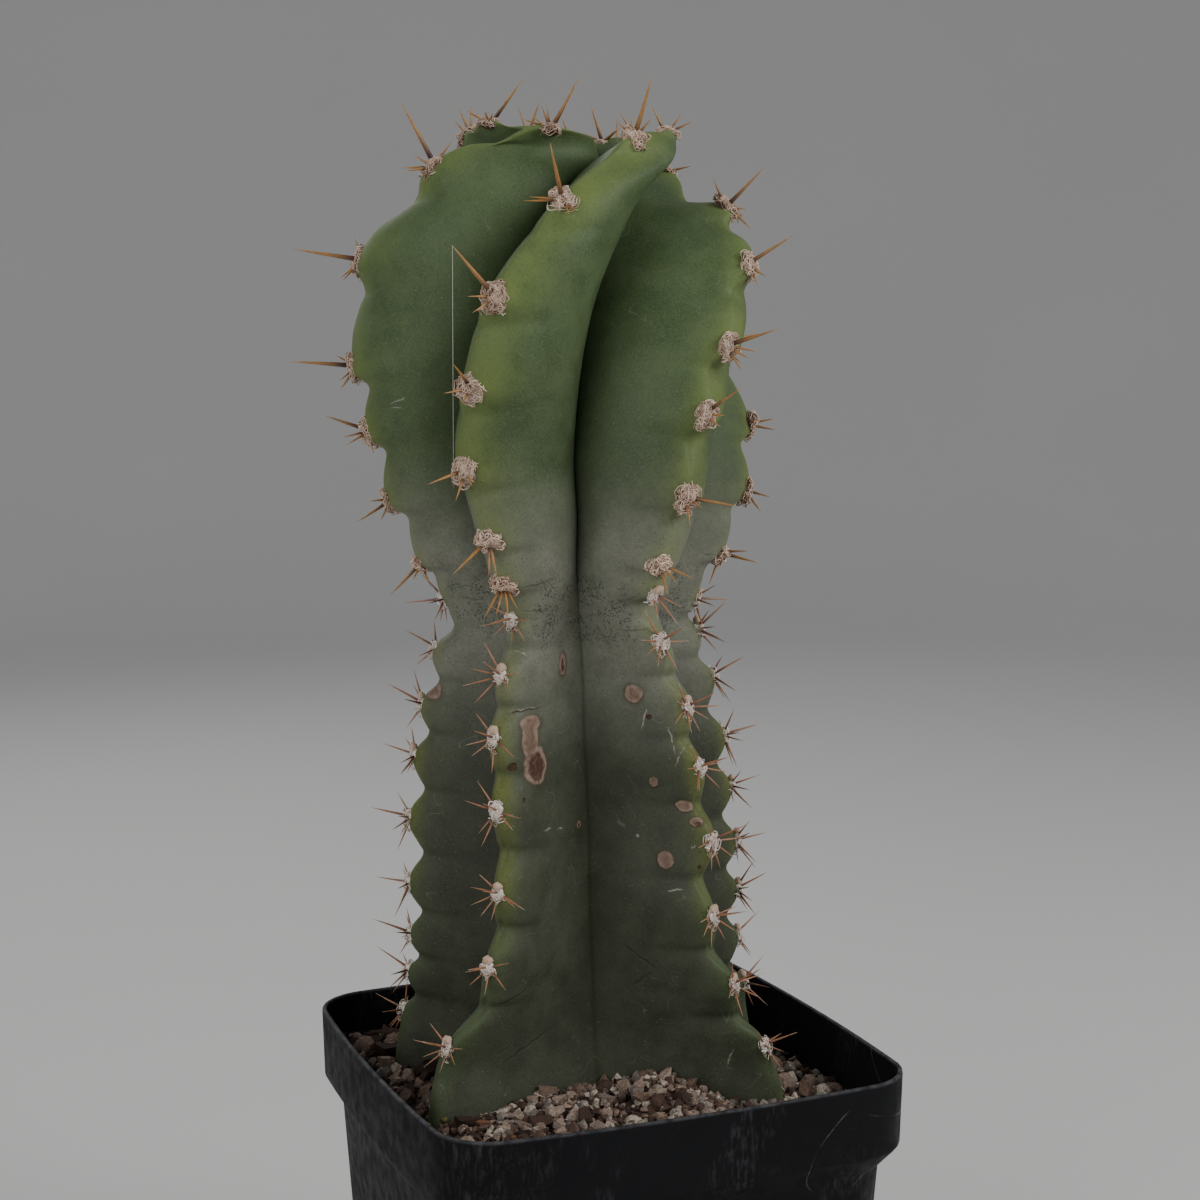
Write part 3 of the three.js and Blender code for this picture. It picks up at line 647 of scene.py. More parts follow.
# Pot, in millimetres.
WALL = 1.0
FLOOR = 1.4
COLLAR_HEIGHT = 15.0
COLLAR_STEP = 3.2
STEP_HEIGHT = 4.5
RIM_HALF = 50.0
BASE_HALF = 41.5
CORNER_RADIUS = 12.5
SIDE_BOW = 1.3
FOOT_BOW_SHARE = 0.4
CORNER_TAPER = 2.5
DRAIN_HOLES = 8
DRAIN_RADIUS = 4.0
DRAIN_SPACING = 52.0
COLLAR_FOOT = POT_HEIGHT - COLLAR_HEIGHT
STEP_FOOT = COLLAR_FOOT - STEP_HEIGHT
COLLAR_HALF = RIM_HALF - 0.4
BODY_HALF = COLLAR_HALF - COLLAR_STEP
POT_SIDES = 160


def rounded_square(share, half, radius, bow):
    """Points of the pot's outline at shares of the way round it."""
    straight = half - radius
    side = np.floor(share * 4)
    run = (share * 4 - side) * (2 * straight + radius * math.pi / 2)
    on_side = run < 2 * straight
    y = run - straight
    angle = np.clip((run - 2 * straight) / radius, 0, math.pi / 2)
    x = np.where(on_side, half + bow * (1 - (y / straight) ** 2), straight + radius * np.cos(angle))
    y = np.where(on_side, y, straight + radius * np.sin(angle))
    turn = side * math.pi / 2
    return np.stack([x * np.cos(turn) - y * np.sin(turn), x * np.sin(turn) + y * np.cos(turn)], axis=-1)


def pot_outline(height, half, inset, share):
    """Ring of the pot's wall at a height: its corners are tighter and its sides flatter below."""
    rise = height / POT_HEIGHT
    radius = CORNER_RADIUS - CORNER_TAPER * (1 - rise)
    bow = SIDE_BOW * (FOOT_BOW_SHARE + (1 - FOOT_BOW_SHARE) * rise)
    outline = rounded_square(share, half - inset, radius - inset, bow)
    return np.column_stack([outline, np.full(len(share), height)])


def pot_shell():
    """The outside is pulled up from a flat foot ring by ring, turned over the rim and led down
    the inside, and the drain holes are cut through the floor."""
    rings = [
        (0.0, BASE_HALF - 1.2, 0), (0.35, BASE_HALF - 0.35, 0), (1.2, BASE_HALF, 0),
        (38.0, (BASE_HALF + BODY_HALF) / 2, 0), (STEP_FOOT - 0.6, BODY_HALF - 0.02, 0),
        (STEP_FOOT, BODY_HALF + 0.15, 0), (STEP_FOOT + 0.8, BODY_HALF + 0.7, 0),
        (COLLAR_FOOT - 0.5, COLLAR_HALF - 0.35, 0), (COLLAR_FOOT, COLLAR_HALF - 0.08, 0),
        (COLLAR_FOOT + 0.5, COLLAR_HALF, 0), (POT_HEIGHT - 0.45, RIM_HALF, 0),
        (POT_HEIGHT - 0.12, RIM_HALF, 0.12), (POT_HEIGHT, RIM_HALF, 0.4),
        (POT_HEIGHT, RIM_HALF, 0.65), (POT_HEIGHT - 0.12, RIM_HALF, 0.9),
        (POT_HEIGHT - 0.45, RIM_HALF, WALL), (COLLAR_FOOT + 0.6, COLLAR_HALF, WALL),
        (COLLAR_FOOT - 0.2, COLLAR_HALF - 0.35, WALL), (STEP_FOOT + 0.9, BODY_HALF + 0.4, WALL),
        (STEP_FOOT, BODY_HALF, WALL), (FLOOR + 0.8, BASE_HALF, WALL), (FLOOR, BASE_HALF - 0.8, WALL),
    ]
    clear_selection()
    bpy.ops.mesh.primitive_circle_add(vertices=POT_SIDES, radius=BASE_HALF * MM, fill_type="NGON")
    pot = newest("pot_shell")
    share = np.arange(POT_SIDES) / POT_SIDES
    pulled_up(pot, [pot_outline(height, half, inset, share) * MM for height, half, inset in rings])
    closed_skin(pot, crisp=40)
    for hole in range(DRAIN_HOLES):
        angle = hole * 2 * math.pi / DRAIN_HOLES
        reach = DRAIN_SPACING / 2 * (math.sqrt(2) if hole % 2 else 1) * MM
        clear_selection()
        bpy.ops.mesh.primitive_cylinder_add(
            vertices=32, radius=DRAIN_RADIUS * MM, depth=4 * FLOOR * MM,
            location=(reach * math.cos(angle), reach * math.sin(angle), 0))
        drill = bpy.context.object
        select_only(pot)
        cut = pot.modifiers.new("drain", "BOOLEAN")
        cut.operation = "DIFFERENCE"
        cut.object = drill
        bpy.ops.object.modifier_apply(modifier=cut.name)
        bpy.data.objects.remove(drill)
    bpy.ops.object.shade_smooth_by_angle(angle=math.radians(40))
    return pot


# Grit bed, in millimetres. Its surface is heaped in front of the plant and lies lower in the
# right-hand corner.
GRIT_LEVEL = -9.5
HEAPS = [
    {"x": -16.0, "y": -20.0, "width": 22.0, "depth": 20.0, "height": 4.0},
    {"x": 5.0, "y": -22.0, "width": 9.0, "depth": 14.0, "height": 4.5},
]
CORNER_DIP = 4.0
CORNER_BACK = 0.4
CORNER_START = 0.1
CORNER_END = 1.2
GRIT_CELLS = 150
GRIT_GAP = 0.35
BED_SINK = 0.6
BED_ROUGHNESS = [(0.7, 0.55, 1.3), (0.5, 1.3, 7.1), (0.25, 2.9, 4.4)]
GRIT_BOW = 0.85 * SIDE_BOW
GRIT_SKIRT = [
    (COLLAR_FOOT + 0.8, COLLAR_HALF - WALL - 0.4), (STEP_FOOT + 1.2, BODY_HALF - WALL - 0.2),
    (40.0, (BASE_HALF + BODY_HALF) / 2 - WALL - 0.3), (FLOOR + 0.2, BASE_HALF - WALL - 0.9),
]


def grit_height(x, y):
    """Height of the grit above the pot's underside."""
    heap = sum(hill["height"] * np.exp(-((x - hill["x"]) / hill["width"]) ** 2
                                       - ((y - hill["y"]) / hill["depth"]) ** 2) for hill in HEAPS)
    towards_corner = (x + CORNER_BACK * y) / RIM_HALF
    dip = CORNER_DIP * smooth_share(towards_corner, CORNER_START, CORNER_END)
    return POT_HEIGHT + GRIT_LEVEL + heap - dip


def pulled_inside(x, y, reach):
    """Moves points that lie outside the pot's inner wall onto it, and all of them with its bow."""
    corner = CORNER_RADIUS - WALL
    straight = reach - corner
    over = np.stack([np.maximum(np.abs(x) - straight, 0), np.maximum(np.abs(y) - straight, 0)])
    length = np.hypot(*over) + 1e-9
    scale = np.minimum(1, corner / length)
    inside_x = np.where(over[0] > 0, straight + over[0] * scale, np.abs(x))
    inside_y = np.where(over[1] > 0, straight + over[1] * scale, np.abs(y))
    share_x, share_y = inside_x / reach, inside_y / reach
    inside_x = inside_x + GRIT_BOW * share_x ** 4 * (1 - share_y ** 2)
    inside_y = inside_y + GRIT_BOW * share_y ** 4 * (1 - share_x ** 2)
    return np.sign(x) * inside_x, np.sign(y) * inside_y


def rough(x, y, scale, seed):
    """Evenly rough height between -1 and 1 over a plane."""
    return np.array([noise.noise((a * scale, b * scale, seed)) for a, b in zip(x, y)])


def grit_bed():
    """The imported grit: a rough sheet over the whole pot, with sides and a flat underside."""
    reach = RIM_HALF - WALL - GRIT_GAP
    clear_selection()
    bpy.ops.mesh.primitive_grid_add(x_subdivisions=GRIT_CELLS, y_subdivisions=GRIT_CELLS, size=2 * reach)
    bed = newest("grit_bed")
    places = corners_of(bed)
    flat_x, flat_y = places[:, 0], places[:, 1]
    x, y = pulled_inside(flat_x, flat_y, reach)
    z = grit_height(x, y) - BED_SINK
    z += sum(height * rough(x, y, scale, seed) for height, scale, seed in BED_ROUGHNESS)
    count = len(places)
    set_corners(bed, np.column_stack([x, y, z]) * MM)
    select_only(bed)
    bpy.ops.object.mode_set(mode="EDIT")
    bpy.ops.mesh.select_mode(type="VERT")
    bpy.ops.mesh.select_all(action="SELECT")
    bpy.ops.mesh.region_to_loop()
    for height, half in GRIT_SKIRT:
        bpy.ops.mesh.extrude_region_move(TRANSFORM_OT_translate={"value": (0, 0, -NUDGE)})
        bpy.ops.object.mode_set(mode="OBJECT")
        places = corners_of(bed)
        skirt = np.arange(count, len(places))
        ring_x, ring_y = pulled_inside(places[skirt, 0] / MM, places[skirt, 1] / MM, half)
        places[skirt] = np.column_stack([ring_x, ring_y, np.full(len(skirt), height)]) * MM
        set_corners(bed, places)
        count = len(places)
        bpy.ops.object.mode_set(mode="EDIT")
    bpy.ops.mesh.edge_face_add()
    bpy.ops.object.mode_set(mode="OBJECT")
    closed_skin(bed)
    return bed


def shape_of(piece, *marks):
    """Corners, triangles and marks of a modelled pattern, which is then removed."""
    mesh = piece.data
    mesh.calc_loop_triangles()
    triangles = np.array([t.vertices[:] for t in mesh.loop_triangles])
    values = {}
    for name in marks:
        stored = np.zeros(len(mesh.vertices), np.float32)
        mesh.attributes[name].data.foreach_get("value", stored)
        values[name] = stored
    shape = (corners_of(piece), triangles, values)
    bpy.data.objects.remove(piece)
    return shape


def joined(name, copies, smooth=True):
    """One piece from many copies, each a pattern, a 4x4 placing and its own marks."""
    points, faces, marks = [], [], {}
    first = 0
    for (corners, triangles, own), placing, given in copies:
        points.append(corners @ placing[:3, :3].T + placing[:3, 3])
        faces.append(triangles + first)
        first += len(corners)
        for key in sorted({*own, *given}):
            value = own.get(key, 0) + given.get(key, 0)
            marks.setdefault(key, []).append(np.broadcast_to(value, len(corners)))
    points, faces = np.vstack(points), np.vstack(faces)
    mesh = bpy.data.meshes.new(name)
    mesh.vertices.add(len(points))
    mesh.vertices.foreach_set("co", points.ravel())
    mesh.loops.add(faces.size)
    mesh.loops.foreach_set("vertex_index", faces.ravel().astype(np.int32))
    mesh.polygons.add(len(faces))
    mesh.polygons.foreach_set("loop_start", np.arange(0, faces.size, 3, dtype=np.int32))
    mesh.update(calc_edges=True)
    mesh.polygons.foreach_set("use_smooth", np.full(len(faces), smooth))
    piece = bpy.data.objects.new(name, mesh)
    bpy.context.scene.collection.objects.link(piece)
    for key, values in marks.items():
        mark(piece, key, np.concatenate(values))
    return piece


def placing(origin, axes, scale=(1, 1, 1)):
    """4x4 matrix that puts a pattern's own x, y and z along three directions at a place."""
    matrix = np.eye(4)
    matrix[:3, :3] = np.array(axes).T * np.array(scale)
    matrix[:3, 3] = origin
    return matrix


def flat_turn(degrees):
    """Directions of a pattern's own x, y and z when it is turned on the ground."""
    return np.array(Matrix.Rotation(math.radians(degrees), 3, "Z")).T


def random_turn(draw):
    angle = draw.uniform(0, 2 * math.pi)
    return np.array(Matrix.Rotation(angle, 3, Vector(draw.normal(size=3)).normalized()))


# Patterns of stones, with a half-length of about 1: a chip is a block split along some planes at
# a range of distances, and a pebble a ball pressed flat on some sides.
CHIP_BLOCK = 1.7
CHIP_CUTS = 8
CHIP_CUT = (0.55, 0.95)
CHIP_SLIVER = 0.12
CHIP_ROUGHNESS = (0.84, 1.12)
PEBBLE_FLATS = 5
PEBBLE_FLAT = (0.6, 0.85)
PEBBLE_PRESS = 0.85
PEBBLE_ROUGHNESS = 0.12


def angular_stone(draw):
    """A chip of rock, with edges shorter than a sliver merged."""
    clear_selection()
    bpy.ops.mesh.primitive_cube_add(size=CHIP_BLOCK)
    stone = newest("stone")
    bpy.ops.object.mode_set(mode="EDIT")
    for _ in range(CHIP_CUTS):
        facing = Vector(draw.normal(size=3)).normalized()
        bpy.ops.mesh.select_all(action="SELECT")
        bpy.ops.mesh.bisect(plane_co=facing * draw.uniform(*CHIP_CUT), plane_no=facing,
                            use_fill=True, clear_outer=True)
    bpy.ops.mesh.select_all(action="SELECT")
    bpy.ops.mesh.remove_doubles(threshold=CHIP_SLIVER)
    bpy.ops.mesh.normals_make_consistent(inside=False)
    bpy.ops.object.mode_set(mode="OBJECT")
    places = corners_of(stone)
    set_corners(stone, places * draw.uniform(*CHIP_ROUGHNESS, (len(places), 1)))
    return stone


def pebble(draw):
    """A worn stone, slightly roughened."""
    clear_selection()
    bpy.ops.mesh.primitive_ico_sphere_add(subdivisions=2, radius=1)
    stone = newest("stone")
    places = corners_of(stone)
    for _ in range(PEBBLE_FLATS):
        facing = draw.normal(size=3)
        facing /= np.linalg.norm(facing)
        over = np.maximum(places @ facing - draw.uniform(*PEBBLE_FLAT), 0)
        places -= PEBBLE_PRESS * over[:, None] * facing
    places *= 1 + PEBBLE_ROUGHNESS * draw.uniform(-1, 1, (len(places), 1))
    set_corners(stone, places)
    return stone


# Loose stones: how many there are, how many of them are large, the share of the small ones that
# lies in the front zone, given by two corners, the share that is worn round, their half-lengths, how
# much commoner the smallest are, how far they keep from the wall, at once and by their size, their
# width and height against their length, and how far they stand out of the bed.
STONE_COUNT = 3300
LARGE_STONES = 260
FRONT_SHARE = 0.35
FRONT_ZONE = ((-38, -44), (34, -14))
WORN_SHARE = 0.3
CHIP_KINDS = 9
PEBBLE_KINDS = 5
LARGE_SIZE = (1.2, 2.4)
SMALL_SIZE = (0.4, 1.35)
SIZE_SKEW = 1.5
STONE_INSET = 1.0
STONE_ROOM = 0.6
STONE_WIDTH = (0.65, 1)
STONE_HEIGHT = (0.5, 0.85)
STONE_LIFT = (-0.25, 0.45)
SEEN_LIFT = 0.25

# Stones that show singly: place across and along the pot, half-length, half-width and half-height
# in millimetres, turn in degrees, tone, and whether worn round.
SEEN_STONES = [
    (-41, 37, 2.7, 2.5, 2.4, 0, 0.60, True), (-34, 45, 4.5, 1.7, 1.5, -20, 0.24, True),
    (-36, 31, 4.4, 3.0, 2.4, 10, 0.06, False), (-42, 27, 1.9, 1.5, 1.4, 40, 0.80, False),
    (-42, 19, 2.0, 1.7, 1.5, 0, 0.84, True), (-38, 14, 1.7, 1.6, 2.0, 0, 0.66, True),
    (-33, 16, 3.2, 2.6, 3.0, 30, 0.08, False), (-41, 6, 3.0, 2.4, 1.7, 60, 0.22, False),
    (-38, -3, 2.2, 2.0, 3.0, 15, 0.78, False), (-36, -20, 3.0, 2.0, 1.6, 0, 0.10, False),
    (-30, -15, 2.4, 2.0, 2.3, 45, 0.92, False), (-45, 43, 2.4, 1.8, 1.5, 70, 0.20, False),
    (40, -2, 3.0, 2.6, 2.9, 0, 0.58, True), (36, -16, 2.8, 2.4, 2.4, 25, 0.62, True),
    (43, -14, 1.9, 1.7, 1.6, 0, 0.64, True), (46, -19, 2.6, 1.4, 1.2, -25, 0.50, True),
    (-20, -26, 1.9, 1.5, 1.5, 20, 0.72, False), (-8, -24, 2.1, 1.4, 1.3, -30, 0.76, False),
    (0, -22, 2.0, 1.6, 1.6, 60, 0.64, False), (6, -21, 3.0, 1.3, 1.5, 55, 0.70, False),
    (10, -23, 2.2, 1.6, 1.5, 10, 0.36, False), (-14, -33, 2.0, 1.5, 1.4, 0, 0.74, False),
    (-29, -20, 1.6, 1.2, 1.5, 0, 0.93, False), (-27, -24, 1.9, 1.3, 1.2, 35, 0.73, False),
    (-24, -22, 1.5, 1.4, 1.3, 70, 0.92, False), (-31, -27, 1.5, 1.2, 1.1, 15, 0.71, False),
    (-17, -20, 1.8, 1.2, 1.4, -15, 0.68, False), (2, -27, 1.7, 1.3, 1.1, 5, 0.73, False),
]


# Level of the skin at which the grit closes round the stem, and points along a flank there.
GRIT_LINE = -8.0
FLANK_POINTS = 12


def stem_outline(level):
    """Outline of the stem at a level, in the shared frame in millimetres."""
    ring = []
    share = np.linspace(0, 1, FLANK_POINTS)
    u = np.full(len(share), section_of_level(level))
    for rib in range(RIBS):
        ring.append(stem_points(u, rib, -1, share[::-1]))
        ring.append(stem_points(u, rib, 1, share))
    return turned(np.vstack(ring))[:, :2] / MM


STEM_IN_GRIT = stem_outline(GRIT_LINE)


def in_stem(x, y):
    """Whether a place on the grit lies inside the outline of the stem there."""
    inside = False
    ahead = np.roll(STEM_IN_GRIT, -1, axis=0)
    for (ax, ay), (bx, by) in zip(STEM_IN_GRIT, ahead):
        crosses = (ay > y) != (by > y)
        inside ^= crosses and x < (bx - ax) * (y - ay) / (by - ay + 1e-12) + ax
    return inside


def picked(draw, shapes):
    return shapes[draw.integers(len(shapes))]


def loose_grit():
    """Chips of many sizes over the bed, each sunk a little, left out where the stem stands."""
    draw = np.random.default_rng(21)
    chips = [shape_of(angular_stone(draw)) for _ in range(CHIP_KINDS)]
    worn = [shape_of(pebble(draw)) for _ in range(PEBBLE_KINDS)]
    copies = []
    for x, y, half_length, half_width, half_height, turn, tone, round_stone in SEEN_STONES:
        shape = picked(draw, worn if round_stone else chips)
        place = np.array([x, y, grit_height(x, y) + SEEN_LIFT * half_height]) * MM
        scale = np.array([half_length, half_width, half_height]) * MM
        copies.append((shape, placing(place, flat_turn(turn), scale), {"tone": tone}))
    reach = RIM_HALF - WALL - STONE_INSET
    small, medium = SMALL_SIZE
    while len(copies) < STONE_COUNT:
        large = len(copies) < LARGE_STONES
        in_front = not large and draw.random() < FRONT_SHARE
        x, y = draw.uniform(*FRONT_ZONE) if in_front else draw.uniform(-reach, reach, 2)
        if large:
            size = draw.uniform(*LARGE_SIZE)
        else:
            size = small + (medium - small) * draw.random() ** SIZE_SKEW
        x, y = pulled_inside(x, y, reach - size * STONE_ROOM)
        if in_stem(x, y):
            continue
        shape = picked(draw, worn if draw.random() < WORN_SHARE else chips)
        turn = random_turn(draw)
        scale = size * np.array([1, draw.uniform(*STONE_WIDTH), draw.uniform(*STONE_HEIGHT)])
        lift = draw.uniform(*STONE_LIFT) * size
        place = np.array([x, y, grit_height(x, y) + lift]) * MM
        copies.append((shape, placing(place, turn, scale * MM), {"tone": draw.random()}))
    return joined("loose_grit", copies, smooth=False)


# Dry bits caught between the stones: stalks by place across and along the pot, direction, length,
# half-thickness and tone, and crumbs by place, half-sizes, turn in degrees and tone.
STALKS = [
    (-41.5, -15.0, (-0.25, 0.25, 1.0), 6.0, 0.24, 0.33), (-38.0, -15.5, (0.20, 0.1, 1.0), 4.6, 0.20, 0.0),
    (-38.4, -15.8, (-0.1, 0.1, 1.0), 3.4, 0.24, 0.0), (-37.4, -15.8, (0.45, 0.0, 0.8), 3.2, 0.26, 0.0),
    (-36.8, -16.4, (0.1, 0.2, 1.0), 2.6, 0.28, 0.0), (12.0, -30.0, (0.9, -0.2, 0.25), 5.0, 0.16, 0.0),
    (-3.0, -35.0, (-0.8, 0.4, 0.2), 4.0, 0.15, 0.0),
]
CRUMBS = [
    (-40.0, -16.5, 0.95, 0.75, 0.8, 10, 0.66), (-24.0, -36.0, 1.5, 0.6, 0.5, 20, 1.0),
    (-34.0, -22.0, 1.8, 1.0, 0.5, -30, 0.0), (-30.5, -31.0, 1.4, 0.9, 0.4, 25, 0.0),
]
CRUMB_LIFT = 0.3


def litter():
    """The stalks and crumbs, which stand or lie on the grit."""
    draw = np.random.default_rng(41)
    stalk, crumb = spine_pattern(), shape_of(pebble(draw))
    copies = []
    for x, y, direction, length, half_thickness, tone in STALKS:
        direction = np.array(direction) / np.linalg.norm(direction)
        side = np.cross(direction, (0.0, -1.0, 0.0))
        side /= np.linalg.norm(side)
        foot = np.array([x, y, grit_height(x, y)]) * MM
        scale = np.array([half_thickness, half_thickness, length]) * MM
        frame_of = np.array([side, np.cross(direction, side), direction])
        copies.append((stalk, placing(foot, frame_of, scale), {"tone": tone}))
    for x, y, half_length, half_width, half_height, turn, tone in CRUMBS:
        place = np.array([x, y, grit_height(x, y) + half_height + CRUMB_LIFT]) * MM
        scale = np.array([half_length, half_width, half_height]) * MM
        copies.append((crumb, placing(place, flat_turn(turn), scale), {"tone": tone, "along": 0.5}))
    return joined("litter", copies)


# Steps up the sections and across a flank over which the skin's slope is read.
SLOPE_STEP = 0.1
FLANK_STEP = 0.02


def skin_frame(rib, side, share, level):
    """Place on the skin, and the directions to its right, up the stem and out of it."""
    def skin(u, t):
        return stem_points(np.array([u]), rib, side, np.array([t]))[0]

    u = float(section_of_level(level))
    up = skin(u + SLOPE_STEP, share) - skin(u - SLOPE_STEP, share)
    right = side * (skin(u, share + FLANK_STEP) - skin(u, share - FLANK_STEP))
    up, right = up / np.linalg.norm(up), right / np.linalg.norm(right)
    out = np.cross(right, up)
    out /= np.linalg.norm(out)
    return skin(u, share), np.array([right, np.cross(out, right), out])


def areole_list(young):
    """Every areole of an age: its rib, place in its rib's row, level, centre and directions."""
    found = []
    for rib, levels in enumerate(AREOLES):
        for index, level in enumerate(levels):
            if (level > YOUNG_LEVEL) == young:
                found.append((rib, index, level, *skin_frame(rib, 1, 0.0, level)))
    return found


def fibre_pattern():
    """A straight thread of unit length along X, three-sided and thin at both ends, with how far
    along it each corner is."""
    stations = np.array([0, 0.16, 0.34, 0.5, 0.66, 0.84, 1.0])
    widths = np.array([0.35, 0.9, 1, 1, 0.95, 0.8, 0.2])
    corners, along = [], []
    for station, width in zip(stations, widths):
        for side in range(3):
            angle = 2 * math.pi * side / 3
            corners.append((station, width * math.cos(angle), width * math.sin(angle)))
            along.append(station)
    faces = []
    for ring in range(len(stations) - 1):
        for side in range(3):
            a, b = 3 * ring + side, 3 * ring + (side + 1) % 3
            faces += [(a, b, b + 3), (a, b + 3, a + 3)]
    last = 3 * (len(stations) - 1)
    faces += [(0, 2, 1), (last, last + 1, last + 2)]
    return np.array(corners), np.array(faces), np.array(along)


def curled(draw, size, thickness, length, lift, curl, start=None):
    """A thread of wool that wanders over an oval pad of a size, as (corners, triangles). It starts
    over the pad unless a start is given, bows out by up to lift, and turns by about curl a step."""
    corners, faces, along = fibre_pattern()
    if start is None:
        start = draw.normal(size=3)
        start[2] = abs(start[2]) + START_OUT
    direction = start / np.linalg.norm(start)
    heading = np.cross(direction, draw.normal(size=3))
    heading /= np.linalg.norm(heading)
    bend = draw.normal(0, curl)
    rise = draw.uniform(*THREAD_RISE) * lift
    stations = np.unique(along)
    step = length / (len(stations) - 1)
    path, place = [], direction.copy()
    for index in range(len(stations)):
        hump = 1 + rise * math.sin(math.pi * (index + 0.5) / len(stations))
        path.append(place * size * hump)
        side = np.cross(place, heading)
        heading = heading * math.cos(bend) + side * math.sin(bend)
        bend += draw.normal(0, CURL_CHANGE)
        place = place + heading * step / size.mean()
        place /= np.linalg.norm(place)
        heading -= place * (heading @ place)
        heading /= np.linalg.norm(heading)
    path = np.array(path)
    forward = np.gradient(path, axis=0)
    forward /= np.linalg.norm(forward, axis=1, keepdims=True)
    outward = path / np.linalg.norm(path, axis=1, keepdims=True)
    sideway = np.cross(forward, outward)
    sideway /= np.linalg.norm(sideway, axis=1, keepdims=True) + 1e-9
    normal = np.cross(sideway, forward)
    ring = np.searchsorted(stations, along)
    points = path[ring] + thickness * (corners[:, 1:2] * sideway[ring] + corners[:, 2:3] * normal[ring])
    return points, faces


# Kinds of wool pads: half-width, half-height and how far they stand out, then the number of
# threads, their thickness and length, all in millimetres, how they bow and curl, and the tone of
# the felt under them. A crust sits on the upper edge of some old pads.
YOUNG_PAD = np.array([2.55, 2.75, 1.55])
WORN_PAD = np.array([2.80, 2.20, 1.75])
OLD_PAD = np.array([1.35, 1.75, 1.05])
YOUNG_WOOL = {"threads": 175, "thickness": 0.105, "length": 4.2, "lift": 0.26, "curl": 0.75, "felt": 0.10}
WORN_WOOL = {"threads": 110, "thickness": 0.15, "length": 4.0, "lift": 0.22, "curl": 0.9, "felt": 0.25}
CRUSTED_WOOL = {"threads": 34, "thickness": 0.11, "length": 2.6, "lift": 0.45, "curl": 0.5, "felt": 0.75}
PLAIN_WOOL = {"threads": 36, "thickness": 0.11, "length": 2.6, "lift": 0.45, "curl": 0.5, "felt": 0.7}
CRUST = {"size": (1.15, 1.0, 0.85), "place": (0, 1.55, 0.45), "rough": 0.16, "tone": 0.3}

# Threads: how far outwards they start, how much their bow and their curl vary, their thickness and
# length against the kind's own, their tone, and every how many one hangs, and where it starts.
START_OUT = 0.15
THREAD_RISE = (0.2, 1.0)
CURL_CHANGE = 0.25
THREAD_THICKNESS = (0.6, 1.2)
THREAD_LENGTH = (0.4, 1.3)
THREAD_TONE = (0.45, 1.0)
HANGING_EVERY = 7
HANGING_LIFT = 2.2
HANGING_ACROSS = 0.6
HANGING_OUT = (0, 0.7)

# Felt: its mean size against the pad's, the height of its lumps and of its grain, lumps to the
# half-width, and how far apart the lumps of two pads may be read.
LUMP_MEAN = 0.92
LUMP_HEIGHT = 0.34
FELT_GRAIN = 0.05
LUMPS = 1.7
LUMPS_APART = 50


def ball(name, subdivisions):
    """A new ball of radius 1, and its corners."""
    clear_selection()
    bpy.ops.mesh.primitive_ico_sphere_add(subdivisions=subdivisions, radius=1)
    piece = newest(name)
    return piece, corners_of(piece)


def hanging_start(draw):
    """A place on the lower edge of a pad."""
    return np.array([draw.normal(0, HANGING_ACROSS), -1.0, draw.uniform(*HANGING_OUT)])


def wool_pad(draw, size, threads, thickness, length, lift, curl, felt, crust=None):
    """A pad of felted wool, in millimetres, facing +Z: a lumpy core under curling threads, some
    of which hang from its lower edge."""
    core, places = ball("felt", 3)
    shift = Vector(draw.uniform(0, LUMPS_APART, 3))

    def lumps(directions):
        heights = [noise.noise(Vector(way) * LUMPS + shift) for way in directions]
        return LUMP_MEAN + LUMP_HEIGHT * np.array(heights)[:, None]

    grain = 1 + draw.uniform(-FELT_GRAIN, FELT_GRAIN, (len(places), 1))
    set_corners(core, places * lumps(places) * grain * size)
    corners, triangles, _ = shape_of(core)
    points, faces, tones = [corners], [triangles], [np.full(len(corners), felt)]
    first = len(corners)
    for index in range(threads):
        hanging = index % HANGING_EVERY == 0
        start = hanging_start(draw) if hanging else None
        own_lift = lift * (HANGING_LIFT if hanging else 1)
        thread, own_faces = curled(draw, size, thickness * draw.uniform(*THREAD_THICKNESS),
                                   length * draw.uniform(*THREAD_LENGTH), own_lift, curl, start)
        thread *= lumps(thread / (np.linalg.norm(thread / size, axis=1, keepdims=True) * size))
        points.append(thread)
        faces.append(own_faces + first)
        tones.append(np.full(len(thread), draw.uniform(*THREAD_TONE)))
        first += len(thread)
    if crust:
        bead, places = ball("crust", 2)
        places = places * (1 + draw.uniform(-crust["rough"], crust["rough"], (len(places), 1)))
        set_corners(bead, places * np.array(crust["size"]) + np.array(crust["place"]))
        corners, triangles, _ = shape_of(bead)
        points.append(corners)
        faces.append(triangles + first)
        tones.append(np.full(len(corners), crust["tone"]))
    return np.vstack(points), np.vstack(faces), {"tone": np.concatenate(tones)}


# Young pads below a level are worn, and those past the apex level are smaller, by a share that
# grows over some levels up to a greatest one. Their wool is two pieces, that of the front ribs and
# that of the others. The seat is how far a pad stands off its crest. Pads vary in size, in turn, in
# radians, and in tone, and a share of the old ones has a crust.
WORN_LEVEL = 112
SMALLER_OVER = 40
PAD_SHRINKS = 0.45
FRONT_RIBS = (0, 1)
YOUNG_SEAT = -0.35
YOUNG_SIZES = (0.93, 1.08)
YOUNG_SPIN = 0.25
YOUNG_TONES = (-0.08, 0.08)
OLD_SEAT = 0.2
OLD_SIZES = (0.92, 1.12)
CRUST_SHARE = 0.55


